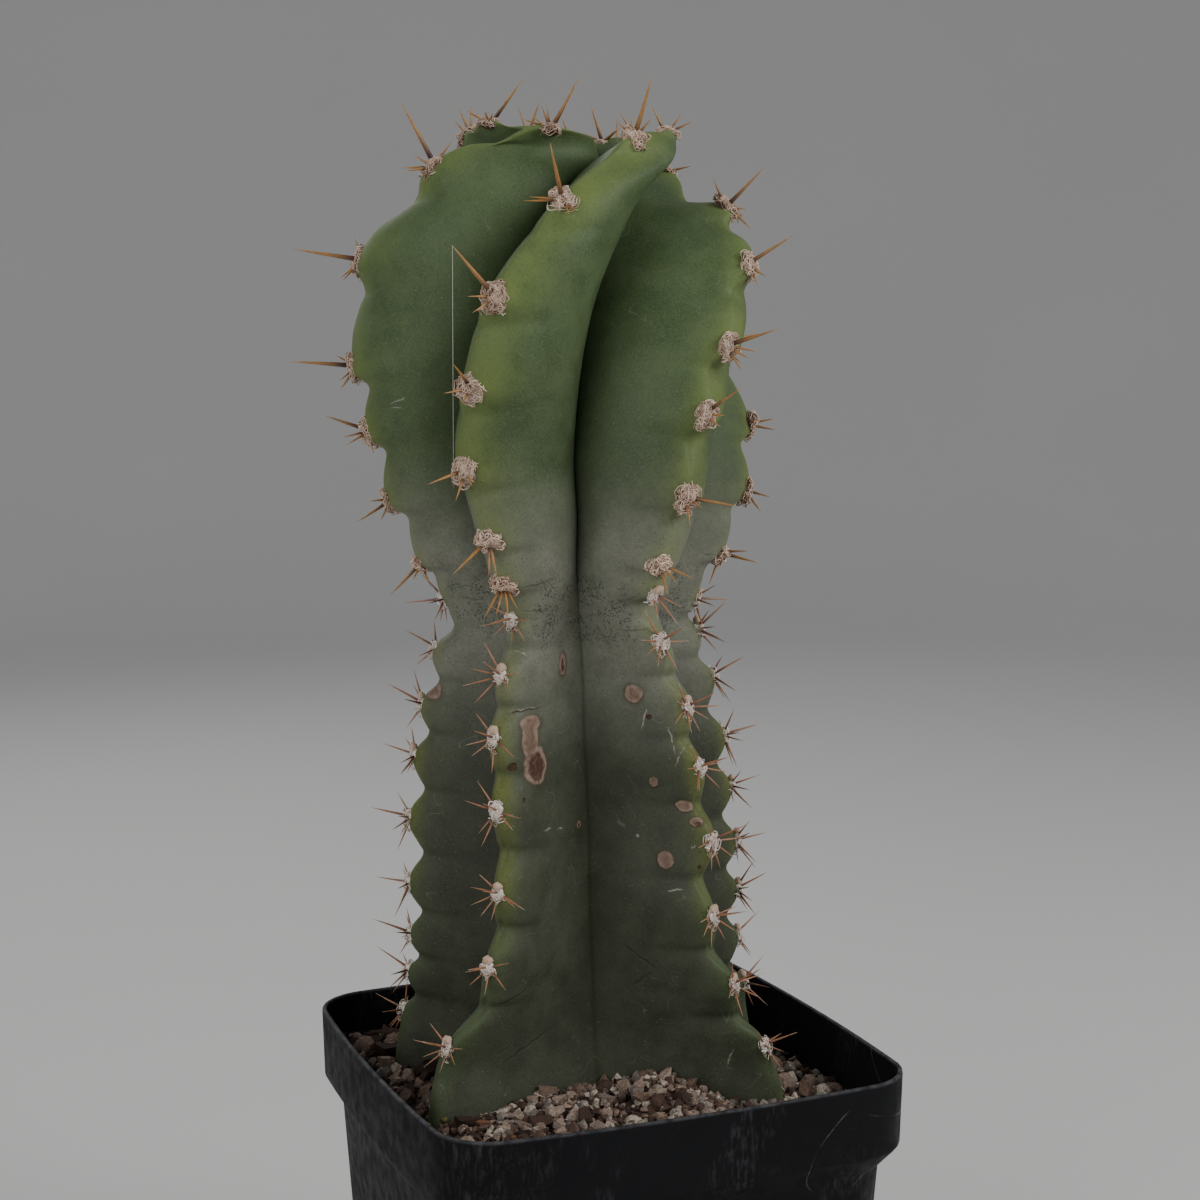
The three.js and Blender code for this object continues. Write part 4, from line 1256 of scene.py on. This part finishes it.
def young_wool():
    """Thick pads of curly tan wool on the upper stem."""
    draw = np.random.default_rng(5)
    pads = [wool_pad(draw, YOUNG_PAD, **YOUNG_WOOL) for _ in range(5)]
    worn_pads = [wool_pad(draw, WORN_PAD, **WORN_WOOL) for _ in range(3)]
    front, behind = [], []
    for rib, _, level, centre, axes in areole_list(True):
        size = 1 - np.clip((level - APEX_LEVEL) / SMALLER_OVER, 0, PAD_SHRINKS)
        size *= draw.uniform(*YOUNG_SIZES)
        centre = turned(centre + YOUNG_SEAT * axes[2])
        axes = turned_ways(axes)
        spin = draw.normal(0, YOUNG_SPIN)
        axes = np.array([
            axes[0] * math.cos(spin) + axes[1] * math.sin(spin),
            axes[1] * math.cos(spin) - axes[0] * math.sin(spin), axes[2]])
        shape = picked(draw, worn_pads if level < WORN_LEVEL else pads)
        tone = draw.uniform(*YOUNG_TONES)
        copies = front if rib in FRONT_RIBS else behind
        copies.append((shape, placing(centre, axes, (size * MM,) * 3), {"tone": tone}))
    return joined("front_wool", front), joined("side_wool", behind)


def old_wool():
    """Small white tufts on the lower stem, most with a tan crust above."""
    draw = np.random.default_rng(8)
    with_crust = [wool_pad(draw, OLD_PAD, **CRUSTED_WOOL, crust=CRUST) for _ in range(2)]
    plain = [wool_pad(draw, OLD_PAD, **PLAIN_WOOL) for _ in range(2)]
    copies = []
    for _, _, _, centre, axes in areole_list(False):
        pads = with_crust if draw.random() < CRUST_SHARE else plain
        centre = turned(centre + OLD_SEAT * axes[2])
        size = draw.uniform(*OLD_SIZES)
        place = placing(centre, turned_ways(axes), (size * MM,) * 3)
        copies.append((picked(draw, pads), place, {}))
    return joined("old_wool", copies)


# A spine's thickness along it, as shares of its length and of its half-thickness, its bend, by age
# its half-thickness, as a part of its own and a part for each millimetre of length, the most that
# it is shorter over the apex, and how far its foot is off the pad's middle and off the crest.
SPINE_PROFILE = [(0.0, 0.8), (0.05, 1.0), (0.3, 0.82), (0.55, 0.6), (0.8, 0.34), (1.0, 0.07)]
SPINE_BEND = 0.6
YOUNG_THICKNESS = (0.20, 0.027)
OLD_THICKNESS = (0.155, 0.018)
SPINE_SHRINKS = 0.35
SPINE_OFFSET = 0.44
SPINE_LIFT = 0.2


def spine_pattern():
    """A spine of unit length along +Z with a swollen foot, slightly bent, pulled up from a ring."""
    clear_selection()
    bpy.ops.mesh.primitive_circle_add(vertices=6, radius=1, fill_type="NGON")
    spine = newest("spine")
    ring = corners_of(spine)
    outlines = [ring * (width, width, 0) + (SPINE_BEND * height ** 2, 0, height)
                for height, width in SPINE_PROFILE]
    pulled_up(spine, outlines)
    mark(spine, "along", corners_of(spine)[:, 2])
    closed_skin(spine, crisp=60)
    return shape_of(spine, "along")


def spine_direction(frame_axes, tilt, turn):
    """Direction of a spine: tilt from straight out, turn clockwise from up, in degrees."""
    right, up, out = frame_axes
    tilt, turn = math.radians(tilt), math.radians(turn)
    return math.cos(tilt) * out + math.sin(tilt) * (math.sin(turn) * right + math.cos(turn) * up)


# Spines as they show from the front: for a rib and the place of an areole in its row, each
# spine's turn clockwise from up, lean towards the viewer in degrees, and length in millimetres.
SEEN_SPINES = {
    (4, 15): [(30, 15, 11), (-20, 20, 4.5), (-60, 20, 3.5), (-75, 10, 5), (-10, 0, 4)],
    (4, 14): [(-27, 15, 13.5), (-60, 25, 4.5), (-90, 10, 5.5), (-100, 30, 5.5), (40, 10, 5)],
    (4, 13): [(-82, 5, 13.5), (-20, 0, 3.5), (-135, 20, 5), (-145, 30, 5.5)],
    (4, 12): [(-85, 10, 12.5), (-130, 30, 4), (-145, 20, 5), (-60, 30, 4)],
    (4, 11): [(-72, 20, 9), (-105, 20, 5), (-120, 20, 5), (160, 30, 4)],
    (4, 10): [(-125, 20, 8), (-155, 30, 4.5), (-95, 30, 4)],
    (4, 9): [(-138, 15, 9), (-155, 30, 4), (155, 30, 5)],
    (0, 15): [(-30, 10, 5.5), (0, 0, 4), (-15, 10, 4)],
    (0, 14): [(-25, 10, 5.5), (65, 10, 5), (35, 10, 4.5)],
    (0, 13): [(18, 20, 12), (40, 0, 4.5), (-50, 20, 4)],
    (0, 12): [(-13, 40, 12), (-85, 20, 5.5), (-95, 15, 6.5), (160, 50, 4), (130, 50, 4)],
    (0, 11): [(-40, 25, 12), (-90, 40, 5.5), (-130, 40, 5.5)],
    (0, 10): [(-30, 55, 8), (-103, 40, 5.5), (-150, 50, 4)],
    (0, 9): [(-110, 35, 8), (-164, 35, 6), (150, 50, 4)],
    (0, 8): [(-135, 25, 9.5), (167, 25, 7), (178, 25, 6.5)],
    (0, 7): [(-150, 30, 7.5), (-168, 40, 7), (170, 35, 7), (150, 35, 5.5)],
    (1, 14): [(80, 10, 5.5), (20, 10, 4)],
    (1, 13): [(46, 20, 11), (-25, 10, 5), (95, 20, 3.5), (135, 20, 6)],
    (1, 12): [(59, 25, 10.5), (125, 40, 4.5), (160, 30, 4)],
    (1, 11): [(74, 35, 11), (150, 30, 5.5), (100, 20, 5.5), (120, 30, 5)],
    (1, 10): [(52, 30, 8.5), (95, 40, 4), (130, 40, 4)],
    (1, 9): [(99, 25, 10), (170, 35, 5.5), (120, 40, 4)],
    (1, 8): [(110, 30, 7), (165, 35, 6.5), (135, 40, 5)],
    (1, 7): [(140, 30, 8), (115, 30, 6), (170, 40, 6)],
    (2, 11): [(103, 20, 5.5), (80, 10, 5)],
    (2, 10): [(107, 20, 5), (145, 30, 5.5)],
    (2, 9): [(104, 15, 8), (85, 10, 5.5), (-160, 20, 6)],
    (3, 14): [(-20, 10, 5.5), (-45, 10, 4), (40, 10, 5.5), (0, 0, 5.5)],
}


def seen_direction(turn, lean):
    """Direction of a spine from how it shows from the front, in the plant's own frame."""
    turn, lean = math.radians(turn), math.radians(lean)
    return np.array([math.cos(lean) * math.sin(turn), -math.sin(lean), math.cos(lean) * math.cos(turn)])


def spine_foot(young, size, centre, out, direction):
    """Where a spine leaves its pad: off the pad's middle towards the side that it leans to."""
    pad = (YOUNG_PAD if young else OLD_PAD)[0] * size
    return centre + SPINE_OFFSET * pad * (direction - out * (direction @ out)) + SPINE_LIFT * out


# Spines that the front doesn't show: tilt from straight out, turn clockwise from up and length of
# the long one, and tilt, turns, stray of the turns and length of the short ones, in degrees and
# millimetres. Young ones are some of the listed turns, and old ones most of them.
YOUNG_LONG = {"tilt": (10, 35), "turn": 25, "length": (11, 14)}
YOUNG_SHORT = {"tilt": (55, 75), "stray": 8, "length": (4.0, 7.0)}
YOUNG_TURNS = (-100, -125, -155, 160, 130, 100, 75)
YOUNG_COUNT = (3, 6)
OLD_LONG = {"tilt": (5, 25), "turn": (-30, 30), "length": (7, 9)}
OLD_SHORT = {"tilt": (58, 78), "stray": 9, "length": (4.5, 7.5)}
OLD_TURNS = (-75, -110, -145, 170, 125, 85, -35)
OLD_PRESENT = 0.85


def short_spine(draw, form, turn):
    """A short spine near a turn, as its tilt, turn and length."""
    return draw.uniform(*form["tilt"]), turn + draw.normal(0, form["stray"]), draw.uniform(*form["length"])


def young_spines(draw):
    """A stout spine out and up, and a few short ones round the lower side, each as its tilt, turn
    and length."""
    tilt, turn = draw.uniform(*YOUNG_LONG["tilt"]), draw.normal(0, YOUNG_LONG["turn"])
    out = [(tilt, turn, draw.uniform(*YOUNG_LONG["length"]))]
    for turn in draw.choice(YOUNG_TURNS, draw.integers(*YOUNG_COUNT), replace=False):
        out.append(short_spine(draw, YOUNG_SHORT, turn))
    return out


def old_spines(draw):
    """A spine nearly straight out and a star of others round it, each as its tilt, turn and
    length."""
    out = [tuple(draw.uniform(*OLD_LONG[part]) for part in ("tilt", "turn", "length"))]
    for turn in OLD_TURNS:
        if draw.random() < OLD_PRESENT:
            out.append(short_spine(draw, OLD_SHORT, turn))
    return out


def spines(young):
    """All spines of an age: those that the front shows, and at other areoles some by a rule."""
    draw = np.random.default_rng(31 if young else 32)
    pattern = spine_pattern()
    thickness, thickening = YOUNG_THICKNESS if young else OLD_THICKNESS
    copies = []
    for rib, index, level, centre, axes in areole_list(young):
        size = 1 - np.clip((level - APEX_LEVEL) / SMALLER_OVER, 0, SPINE_SHRINKS)
        if (rib, index) in SEEN_SPINES:
            listed = [(seen_direction(turn, lean), length) for turn, lean, length in SEEN_SPINES[rib, index]]
        else:
            listed = [(spine_direction(axes, tilt, turn), length * size)
                      for tilt, turn, length in (young_spines(draw) if young else old_spines(draw))]
        for direction, length in listed:
            foot = turned(spine_foot(young, size, centre, axes[2], direction))
            side = np.cross(direction, draw.normal(size=3))
            side /= np.linalg.norm(side)
            ways = turned_ways(np.array([side, np.cross(direction, side), direction]))
            thick = thickness + thickening * length
            scale = np.array([thick, thick, length]) * MM
            copies.append((pattern, placing(foot, ways, scale), {"tone": draw.random()}))
    return joined("young_spines" if young else "old_spines", copies)


# The silk thread: the rib that it hangs on, the places in its row of the areoles above and below,
# its half-thickness, how near to the spine's tip it is tied, and where it ends on the wool below,
# to the right, up and outwards.
SILK_RIB = 0
SILK_ABOVE = 11
SILK_BELOW = 9
SILK_RADIUS = 0.042
SILK_TIE = 0.97
SILK_END = np.array([-1.2, 1.6, 1.4])


def silk_thread():
    """A spider's thread from the tip of a long spine down to the wool of an areole below."""
    centre, axes = skin_frame(SILK_RIB, 1, 0.0, AREOLES[SILK_RIB][SILK_ABOVE])
    turn, lean, length = SEEN_SPINES[SILK_RIB, SILK_ABOVE][0]
    direction = seen_direction(turn, lean)
    start = spine_foot(True, 1, centre, axes[2], direction) + SILK_TIE * length * direction
    wool, ways = skin_frame(SILK_RIB, 1, 0.0, AREOLES[SILK_RIB][SILK_BELOW])
    end = wool + SILK_END @ ways
    clear_selection()
    bpy.ops.mesh.primitive_cylinder_add(vertices=5, radius=SILK_RADIUS, depth=1)
    thread = newest("silk_thread")
    corners = corners_of(thread)
    along = corners[:, 2:3] + 0.5
    set_corners(thread, turned(corners * (1, 1, 0) + (1 - along) * start + along * end))
    bpy.ops.object.shade_smooth()
    return thread


# How deep a mark reaches, so that it shows on its own flank alone.
MARK_DEPTH = 2.5

# Colours of the skin, in linear light. Pairs are those of the old and of the young skin, and for
# the bark its dark and light grain.
DARK_GREEN = (0.020, 0.024, 0.013), (0.037, 0.068, 0.022)
LIGHT_GREEN = (0.042, 0.048, 0.027), (0.074, 0.116, 0.044)
SPECK_GREEN = (0.085, 0.095, 0.066), (0.155, 0.205, 0.080)
FOOT_YELLOW = (0.058, 0.090, 0.028)
CREST_YELLOW = (0.125, 0.150, 0.022), (0.150, 0.202, 0.046)
WAXY_BLOOM = (0.235, 0.232, 0.192)
DARK_SPECK = (0.014, 0.024, 0.009)
FRECKLE = (0.014, 0.024, 0.012)
PALE_PORE = (0.27, 0.31, 0.21)
PIT = (0.010, 0.012, 0.009)
# Green of the painted shade in the furrows and the old folds.
PAINTED_SHADE_GREEN = (0.016, 0.026, 0.010)
# Green of the painted shade in the creases.
CREASE_SHADE_GREEN = (0.014, 0.020, 0.010)
BARK = (0.150, 0.098, 0.070), (0.250, 0.180, 0.135)
BARK_MIDDLE = (0.110, 0.062, 0.042)
BARK_RIM = (0.045, 0.040, 0.022)
SORE_BROWN = (0.050, 0.017, 0.009)
HAIRLINE = (0.17, 0.19, 0.14)
SCRATCH_PALE = (0.36, 0.34, 0.29)

# Levels over which the young skin, the yellow of the crests, the bloom and the pits set in.
YOUNG_SKIN = (60, 165)
YELLOW_RISE = (18, 55)
BLOOM_BELOW = (58, 90)
BLOOM_ABOVE = (126, 100)
PITS_BELOW = (82, 90)
PITS_ABOVE = (104, 97)


def marks_of(f, place, kind):
    """Distance from the nearest mark of a kind, which is 1 at the mark's edge."""
    reaches = []
    for rib, side, share, level, half_width, half_height, lean in SCARS[kind]:
        centre, ways = skin_frame(rib, side, share, level)
        ways = Matrix(turned_ways(ways)).transposed() @ Matrix.Rotation(math.radians(-lean), 3, "Z")
        size = (half_width * MM, half_height * MM, MARK_DEPTH * MM)
        reaches.append(f.reach_from(place, turned(centre), ways.to_euler(), size))
    return f.nearest(reaches)


def skin_green(f, level, flank, young, middle, fine):
    """Green in soft patches, yellower along the crests and round the areoles, under the bloom."""
    patches = f.math("ADD", f.times(f.noise(28, 3), 0.5), f.times(middle, 0.5))
    green = f.mix(f.spread(patches, 0.32, 0.68), f.mix(young, *DARK_GREEN), f.mix(young, *LIGHT_GREEN))
    yellow = f.mix(f.spread(level, *YELLOW_RISE), FOOT_YELLOW, CREST_YELLOW[0])
    yellow = f.mix(young, yellow, CREST_YELLOW[1])
    crest = f.times(f.spread(flank, 0.34, 0.03), f.spread(middle, 0.3, 0.65, 0.65, 1))
    green = f.over(green, yellow, crest, f.spread(level, 80, 130, 0.75, 0.6))
    green = f.over(green, WAXY_BLOOM, f.spread(level, *BLOOM_BELOW, 0.16, 1),
                   f.spread(level, *BLOOM_ABOVE, 0.10, 1), f.spread(fine, 0.3, 0.7, 0.78, 1),
                   f.spread(middle, 0.3, 0.7, 0.72, 1), 0.84)
    return f.over(green, yellow, f.mark("glow"), f.spread(middle, 0.25, 0.6, 0.35, 1),
                  f.spread(fine, 0.3, 0.6, 0.5, 1), 0.55)


def skin_specks(f, green, level, young, velvet, fine):
    """Fine light and dark grain, dark freckles and pale pores."""
    green = f.over(green, f.mix(young, *SPECK_GREEN), f.spread(velvet, 0.46, 0.64), 0.18)
    green = f.over(green, DARK_SPECK, f.spread(velvet, 0.46, 0.30), 0.24)
    green = f.over(green, FRECKLE, f.spread(f.cells(1400), 0.34, 0.10), f.spread(fine, 0.38, 0.60),
                   f.spread(level, 140, 100, 0.25, 1), 0.55)
    return f.over(green, PALE_PORE, f.spread(f.cells(1000), 0.15, 0.07),
                  f.spread(f.noise(240, 3), 0.48, 0.62), 0.5)


def waist_pits(f, level, flank):
    """Share of the skin that is pitted, in the furrows at the waist."""
    waist = f.times(f.spread(level, *PITS_BELOW), f.spread(level, *PITS_ABOVE), f.spread(flank, 0.25, 0.4))
    pits = f.math("MAXIMUM", f.spread(f.cells(1450), 0.38, 0.27), f.spread(f.cells(2100), 0.36, 0.26))
    return f.times(pits, f.spread(f.noise(300, 2), 0.43, 0.56), waist)


def skin_shade(f, green, level, flank, middle):
    """Painted shade: the darker green of the furrows, with a thin dark line in each, and of the old folds."""
    wide = f.times(f.spread(flank, 0.55, 1.0), f.spread(level, 95, 112, 0.20, 0.42))
    line = f.times(f.spread(flank, 0.975, 1.0), 0.3)
    green = f.mix(f.math("ADD", wide, line), green, PAINTED_SHADE_GREEN)
    return f.over(green, PAINTED_SHADE_GREEN, f.mark("fold"), f.spread(middle, 0.3, 0.6, 0.4, 1), 0.42)


def skin_marks(f, green, fine):
    """Creases with painted shade in them, corky scars with a dark edge, sores, hairlines and
    scratches, and the relief that they give the skin."""
    place = f.wavering(700, 0.0010)
    cork, sore, scratch, crease = (marks_of(f, place, kind) for kind in ("cork", "sore", "scratch", "crease"))
    on_crease = f.times(f.spread(crease, 1.8, 0.3), f.spread(fine, 0.25, 0.5, 0.4, 1))
    on_cork = f.spread(cork, 1.12, 0.92)
    on_sore = f.times(f.spread(sore, 1.15, 0.80), f.spread(f.noise(1100, 3), 0.30, 0.55, 0.5, 1))
    on_scratch = f.times(f.spread(scratch, 1.2, 0.7), f.spread(fine, 0.35, 0.55))
    hairline = f.times(f.spread(f.contour(150, 1), 0.0060, 0.0010),
                       f.spread(f.noise(130, 1, (1.4, 1, 0.8)), 0.58, 0.64))
    bark = f.mix(f.spread(f.noise(900, 3), 0.30, 0.70), *BARK)
    bark = f.over(bark, BARK_MIDDLE, f.spread(cork, 0.80, 0.35), 0.50)
    # Painted shade in the creases.
    green = f.over(green, CREASE_SHADE_GREEN, on_crease, 0.34)
    green = f.over(green, BARK_RIM, f.spread(cork, 1.6, 1.0), 0.45)
    green = f.over(green, bark, on_cork)
    green = f.over(green, SORE_BROWN, on_sore, 0.85)
    green = f.over(green, HAIRLINE, hairline, 0.35)
    green = f.over(green, SCRATCH_PALE, on_scratch, 0.6)
    sunk = f.math("ADD", f.times(on_sore, 1.2), f.times(on_crease, 0.35))
    return green, f.math("SUBTRACT", on_cork, sunk)


def stem_finish():
    """Living skin: green above and dull grey-green below, yellowish along the crests, with a
    pale waxy bloom, fine freckles, hairline scratches, corky scars and painted shade in its
    furrows, folds and creases."""
    f = Finish("stem_skin", Specular_IOR_Level=0.20)
    level, flank = f.mark("level"), f.mark("flank")
    young = f.spread(level, *YOUNG_SKIN)
    middle, fine, velvet = f.noise(160, 4), f.noise(900, 4), f.noise(2600, 3)
    green = skin_green(f, level, flank, young, middle, fine)
    green = skin_specks(f, green, level, young, velvet, fine)
    pits = waist_pits(f, level, flank)
    green = f.over(green, PIT, pits, 0.62)
    # Painted shade in the furrows and the old folds.
    green = skin_shade(f, green, level, flank, middle)
    green, raised = skin_marks(f, green, fine)
    f.put(f.shader.inputs["Base Color"], green)
    f.put(f.shader.inputs["Roughness"], f.spread(middle, 0.3, 0.7, 0.48, 0.66))
    f.bump((raised, 0.00022), (middle, 0.00010), (f.math("SUBTRACT", velvet, pits), 0.00003))
    return f.material


def wool_finish(name, dark, middle, light):
    """Matt wool, from the dark felt between its threads to its lightest threads."""
    f = Finish(name, Roughness=0.9, Specular_IOR_Level=0.15)
    tone = f.math("ADD", f.mark("tone"), f.times(f.math("SUBTRACT", f.noise(1600, 2), 0.5), 0.5))
    f.put(f.shader.inputs["Base Color"], f.ramp(tone, (0.05, dark), (0.45, middle), (0.95, light)))
    f.bump((f.noise(4000, 2), 0.00006))
    return f.material


def spine_finish(name, foot, shaft, tip):
    """Smooth spines with a dark foot and fine dark streaks, each changing a little sooner or later."""
    f = Finish(name, Roughness=0.38, Specular_IOR_Level=0.5)
    along = f.math("ADD", f.mark("along"), f.times(f.math("SUBTRACT", f.mark("tone"), 0.5), 0.25))
    colour = f.ramp(along, (0.06, foot), (0.46, shaft), (0.80, shaft), (1.0, tip))
    streaks = f.spread(f.noise(2500, 2), 0.35, 0.7)
    f.put(f.shader.inputs["Base Color"], f.over(colour, foot, streaks, 0.3))
    return f.material


# Colours of the plastic, and its fine pale hairs: clouds to the metre and how they are stretched.
PLASTIC_BLACK = (0.0036, 0.0037, 0.0043), (0.0060, 0.0062, 0.0072)
SCUFF_GREY = (0.055, 0.055, 0.059)
DUST_GREY = (0.055, 0.050, 0.046)
HAIR_GREY = (0.12, 0.12, 0.125)
RIM_GREY = (0.085, 0.085, 0.090)
POT_HAIRS = [(34, (1, 1, 1)), (30, (1, 1, 0.3)), (24, (0.5, 0.5, 1.4))]
RIM_BAND = (POT_HEIGHT - 0.7, POT_HEIGHT - 0.1)


def pot_hair(f, scale, stretch):
    """A few thin curved lines."""
    shown = f.spread(f.noise(scale * 1.6, 1, (1.3, 0.8, 1.0)), 0.54, 0.60)
    return f.times(f.spread(f.contour(scale, 0, stretch), 0.0022, 0.0004), shown)


def pot_finish():
    """Black moulded plastic, scuffed and scratched pale, lighter along the top of the rim."""
    f = Finish("pot_plastic", Specular_IOR_Level=0.10)
    height = f.add("SeparateXYZ", {0: f.object_place}).outputs["Z"]
    colour = f.mix(f.spread(f.noise(25, 3), 0.3, 0.7), *PLASTIC_BLACK)
    colour = f.over(colour, SCUFF_GREY, f.spread(f.noise(60, 4, (1, 1, 0.6)), 0.50, 0.66),
                    f.spread(f.noise(1300, 4, (1, 1, 0.28)), 0.44, 0.74), 0.45)
    colour = f.over(colour, DUST_GREY, f.spread(f.noise(35, 3), 0.48, 0.70),
                    f.spread(f.noise(1800, 3), 0.45, 0.70), 0.35)
    hair = pot_hair(f, *POT_HAIRS[0])
    for scale, stretch in POT_HAIRS[1:]:
        hair = f.math("MAXIMUM", hair, pot_hair(f, scale, stretch))
    colour = f.over(colour, HAIR_GREY, hair, f.spread(f.noise(900, 2), 0.35, 0.60, 0.3, 1), 0.75)
    # A patchy lighter grey band along the top of the rim.
    colour = f.over(colour, RIM_GREY, f.spread(height, RIM_BAND[0] * MM, RIM_BAND[1] * MM),
                    f.spread(f.noise(400, 4), 0.30, 0.65, 0.25, 1), 0.7)
    f.put(f.shader.inputs["Base Color"], colour)
    f.put(f.shader.inputs["Roughness"], f.spread(f.noise(300, 4), 0.3, 0.7, 0.44, 0.64))
    f.bump((f.noise(700, 3), 0.00003))
    return f.material


# Colours of the stones by tone, and of the specks in them.
STONE_TONES = [
    (0.0, (0.018, 0.011, 0.009)), (0.22, (0.075, 0.042, 0.030)), (0.46, (0.185, 0.120, 0.088)),
    (0.70, (0.36, 0.265, 0.205)), (0.82, (0.120, 0.110, 0.102)), (0.93, (0.52, 0.44, 0.36)),
]
STONE_SPECK = (0.035, 0.024, 0.019)


def grit_finish(name):
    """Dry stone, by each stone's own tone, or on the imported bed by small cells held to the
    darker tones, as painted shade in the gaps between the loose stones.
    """
    f = Finish(name, Roughness=0.92, Specular_IOR_Level=0.25)
    # On the bed the tone is held low: painted shade in the gaps between the loose stones.
    tone = f.mark("tone") if name == "loose_grit" else f.times(f.cells(420), 0.45)
    specks = f.spread(f.noise(2200, 4), 0.3, 0.7)
    f.put(f.shader.inputs["Base Color"], f.over(f.ramp(tone, *STONE_TONES), STONE_SPECK, specks, 0.55))
    f.bump((f.noise(1300, 4), 0.00035), (f.noise(5000, 3), 0.00006))
    return f.material


LITTER_TONES = [
    (0.0, (0.17, 0.080, 0.040)), (0.33, (0.34, 0.31, 0.27)),
    (0.66, (0.13, 0.125, 0.035)), (1.0, (0.42, 0.11, 0.03)),
]
LITTER_SPECK = (0.05, 0.03, 0.02)


def litter_finish():
    """Straw brown, pale grey, yellow-green and orange dry bits."""
    f = Finish("litter", Roughness=0.85, Specular_IOR_Level=0.2)
    specks = f.spread(f.noise(1800, 3), 0.40, 0.75)
    f.put(f.shader.inputs["Base Color"], f.mix(specks, f.ramp(f.mark("tone"), *LITTER_TONES), LITTER_SPECK))
    return f.material


# Wool and silk from dark to light, and spines from foot to tip.
TAN_WOOL = (0.11, 0.050, 0.030), (0.41, 0.265, 0.185), (0.80, 0.64, 0.52)
WHITE_WOOL = (0.33, 0.19, 0.10), (0.58, 0.45, 0.36), (0.90, 0.85, 0.79)
SILK = (0.5, 0.5, 0.47), (0.6, 0.6, 0.57), (0.8, 0.8, 0.77)
YOUNG_SPINE = (0.045, 0.016, 0.013), (0.38, 0.185, 0.048), (0.40, 0.24, 0.10)
OLD_SPINE = (0.10, 0.03, 0.018), (0.37, 0.170, 0.085), (0.45, 0.36, 0.27)

place_piece(stem_skin(), stem_finish(), "stem_skin", "stem")
tan_wool = wool_finish("tan_wool", *TAN_WOOL)
white_wool = wool_finish("white_wool", *WHITE_WOOL)
for wool in young_wool():
    place_piece(wool, tan_wool, "stem_skin")
place_piece(old_wool(), white_wool, "stem_skin")
place_piece(spines(True), spine_finish("young_spines", *YOUNG_SPINE), "stem_skin")
place_piece(spines(False), spine_finish("old_spines", *OLD_SPINE), "stem_skin")
place_piece(silk_thread(), wool_finish("silk", *SILK), "stem_skin")
place_piece(pot_shell(), pot_finish(), "pot_plastic", "pot")
place_piece(grit_bed(), grit_finish("grit_bed"), "grit", "grit")
place_piece(loose_grit(), grit_finish("loose_grit"), "grit")
place_piece(litter(), litter_finish(), "grit")


# Studio, in metres: a round floor whose edge curves up by steps of some degrees, and a world of
# even light. Each lamp has a name, a place, a width and a power in watts.
FLOOR_REACH = 1.4
FLOOR_RISE = 0.9
FLOOR_DROP = 0.0002
FLOOR_SIDES = 96
FLOOR_STEPS = 13
FLOOR_STEP = 7
FLOOR_PALE = (0.62, 0.615, 0.60), (0.66, 0.655, 0.64)
LAMPS = [
    ("key", (0.55, -0.60, 0.66), 0.5, 6.4),
    ("fill", (-0.82, -0.46, 0.5), 0.7, 4.6),
    ("back", (-0.1, 0.8, 0.7), 0.6, 1.6),
]
LAMP_AIM = Vector((0, 0, 0.17))
WORLD_COLOUR = (0.90, 0.92, 0.95, 1)
WORLD_STRENGTH = 0.33


def pale_floor():
    """A pale floor that curves up all round, so that no edge shows behind the plant."""
    clear_selection()
    bpy.ops.mesh.primitive_circle_add(vertices=FLOOR_SIDES, radius=FLOOR_REACH, fill_type="NGON")
    floor = newest("floor")
    turn = np.linspace(0, 2 * math.pi, FLOOR_SIDES, endpoint=False)
    outlines = []
    for step in range(FLOOR_STEPS):
        bend = math.radians(FLOOR_STEP * step)
        reach = FLOOR_REACH + FLOOR_RISE * math.sin(bend)
        height = np.full(FLOOR_SIDES, FLOOR_RISE * (1 - math.cos(bend)) - FLOOR_DROP)
        outlines.append(np.column_stack([reach * np.cos(turn), reach * np.sin(turn), height]))
    pulled_up(floor, outlines)
    select_only(floor)
    bpy.ops.object.mode_set(mode="EDIT")
    bpy.ops.mesh.delete(type="ONLY_FACE")
    bpy.ops.object.mode_set(mode="OBJECT")
    bpy.ops.object.shade_smooth()
    f = Finish("floor", Roughness=0.7, Specular_IOR_Level=0.3)
    f.put(f.shader.inputs["Base Color"], f.mix(f.noise(3, 2), *FLOOR_PALE))
    floor.data.materials.append(f.material)


def soft_light(name, place, size, power):
    """A square studio light that faces the middle of the plant."""
    lamp = bpy.data.lights.new(name, "AREA")
    lamp.shape = "SQUARE"
    lamp.size = size
    lamp.energy = power
    light = bpy.data.objects.new(name, lamp)
    light.location = place
    light.rotation_euler = (LAMP_AIM - Vector(place)).to_track_quat("-Z", "Y").to_euler()
    bpy.context.scene.collection.objects.link(light)


def studio():
    pale_floor()
    world = bpy.data.worlds.new("studio")
    world.use_nodes = True
    background = world.node_tree.nodes["Background"]
    background.inputs["Color"].default_value = WORLD_COLOUR
    background.inputs["Strength"].default_value = WORLD_STRENGTH
    bpy.context.scene.world = world
    for lamp in LAMPS:
        soft_light(*lamp)


# The camera, in metres and degrees, and in millimetres of lens for a frame 36 mm wide.
CAMERA_PLACE = (-0.1621, -0.3907, 0.2354)
CAMERA_TILT = 83.61
CAMERA_TURN = -22.56
CAMERA_LENS = 61.5
CAMERA_FRAME = 36
CAMERA_NEAR = 0.01


def photographer():
    camera = bpy.data.objects.new("camera", bpy.data.cameras.new("camera"))
    camera.data.sensor_width = CAMERA_FRAME
    camera.data.lens = CAMERA_LENS
    camera.data.clip_start = CAMERA_NEAR
    camera.location = CAMERA_PLACE
    camera.rotation_euler = (math.radians(CAMERA_TILT), 0, math.radians(CAMERA_TURN))
    bpy.context.scene.collection.objects.link(camera)
    bpy.context.scene.camera = camera


studio()
photographer()
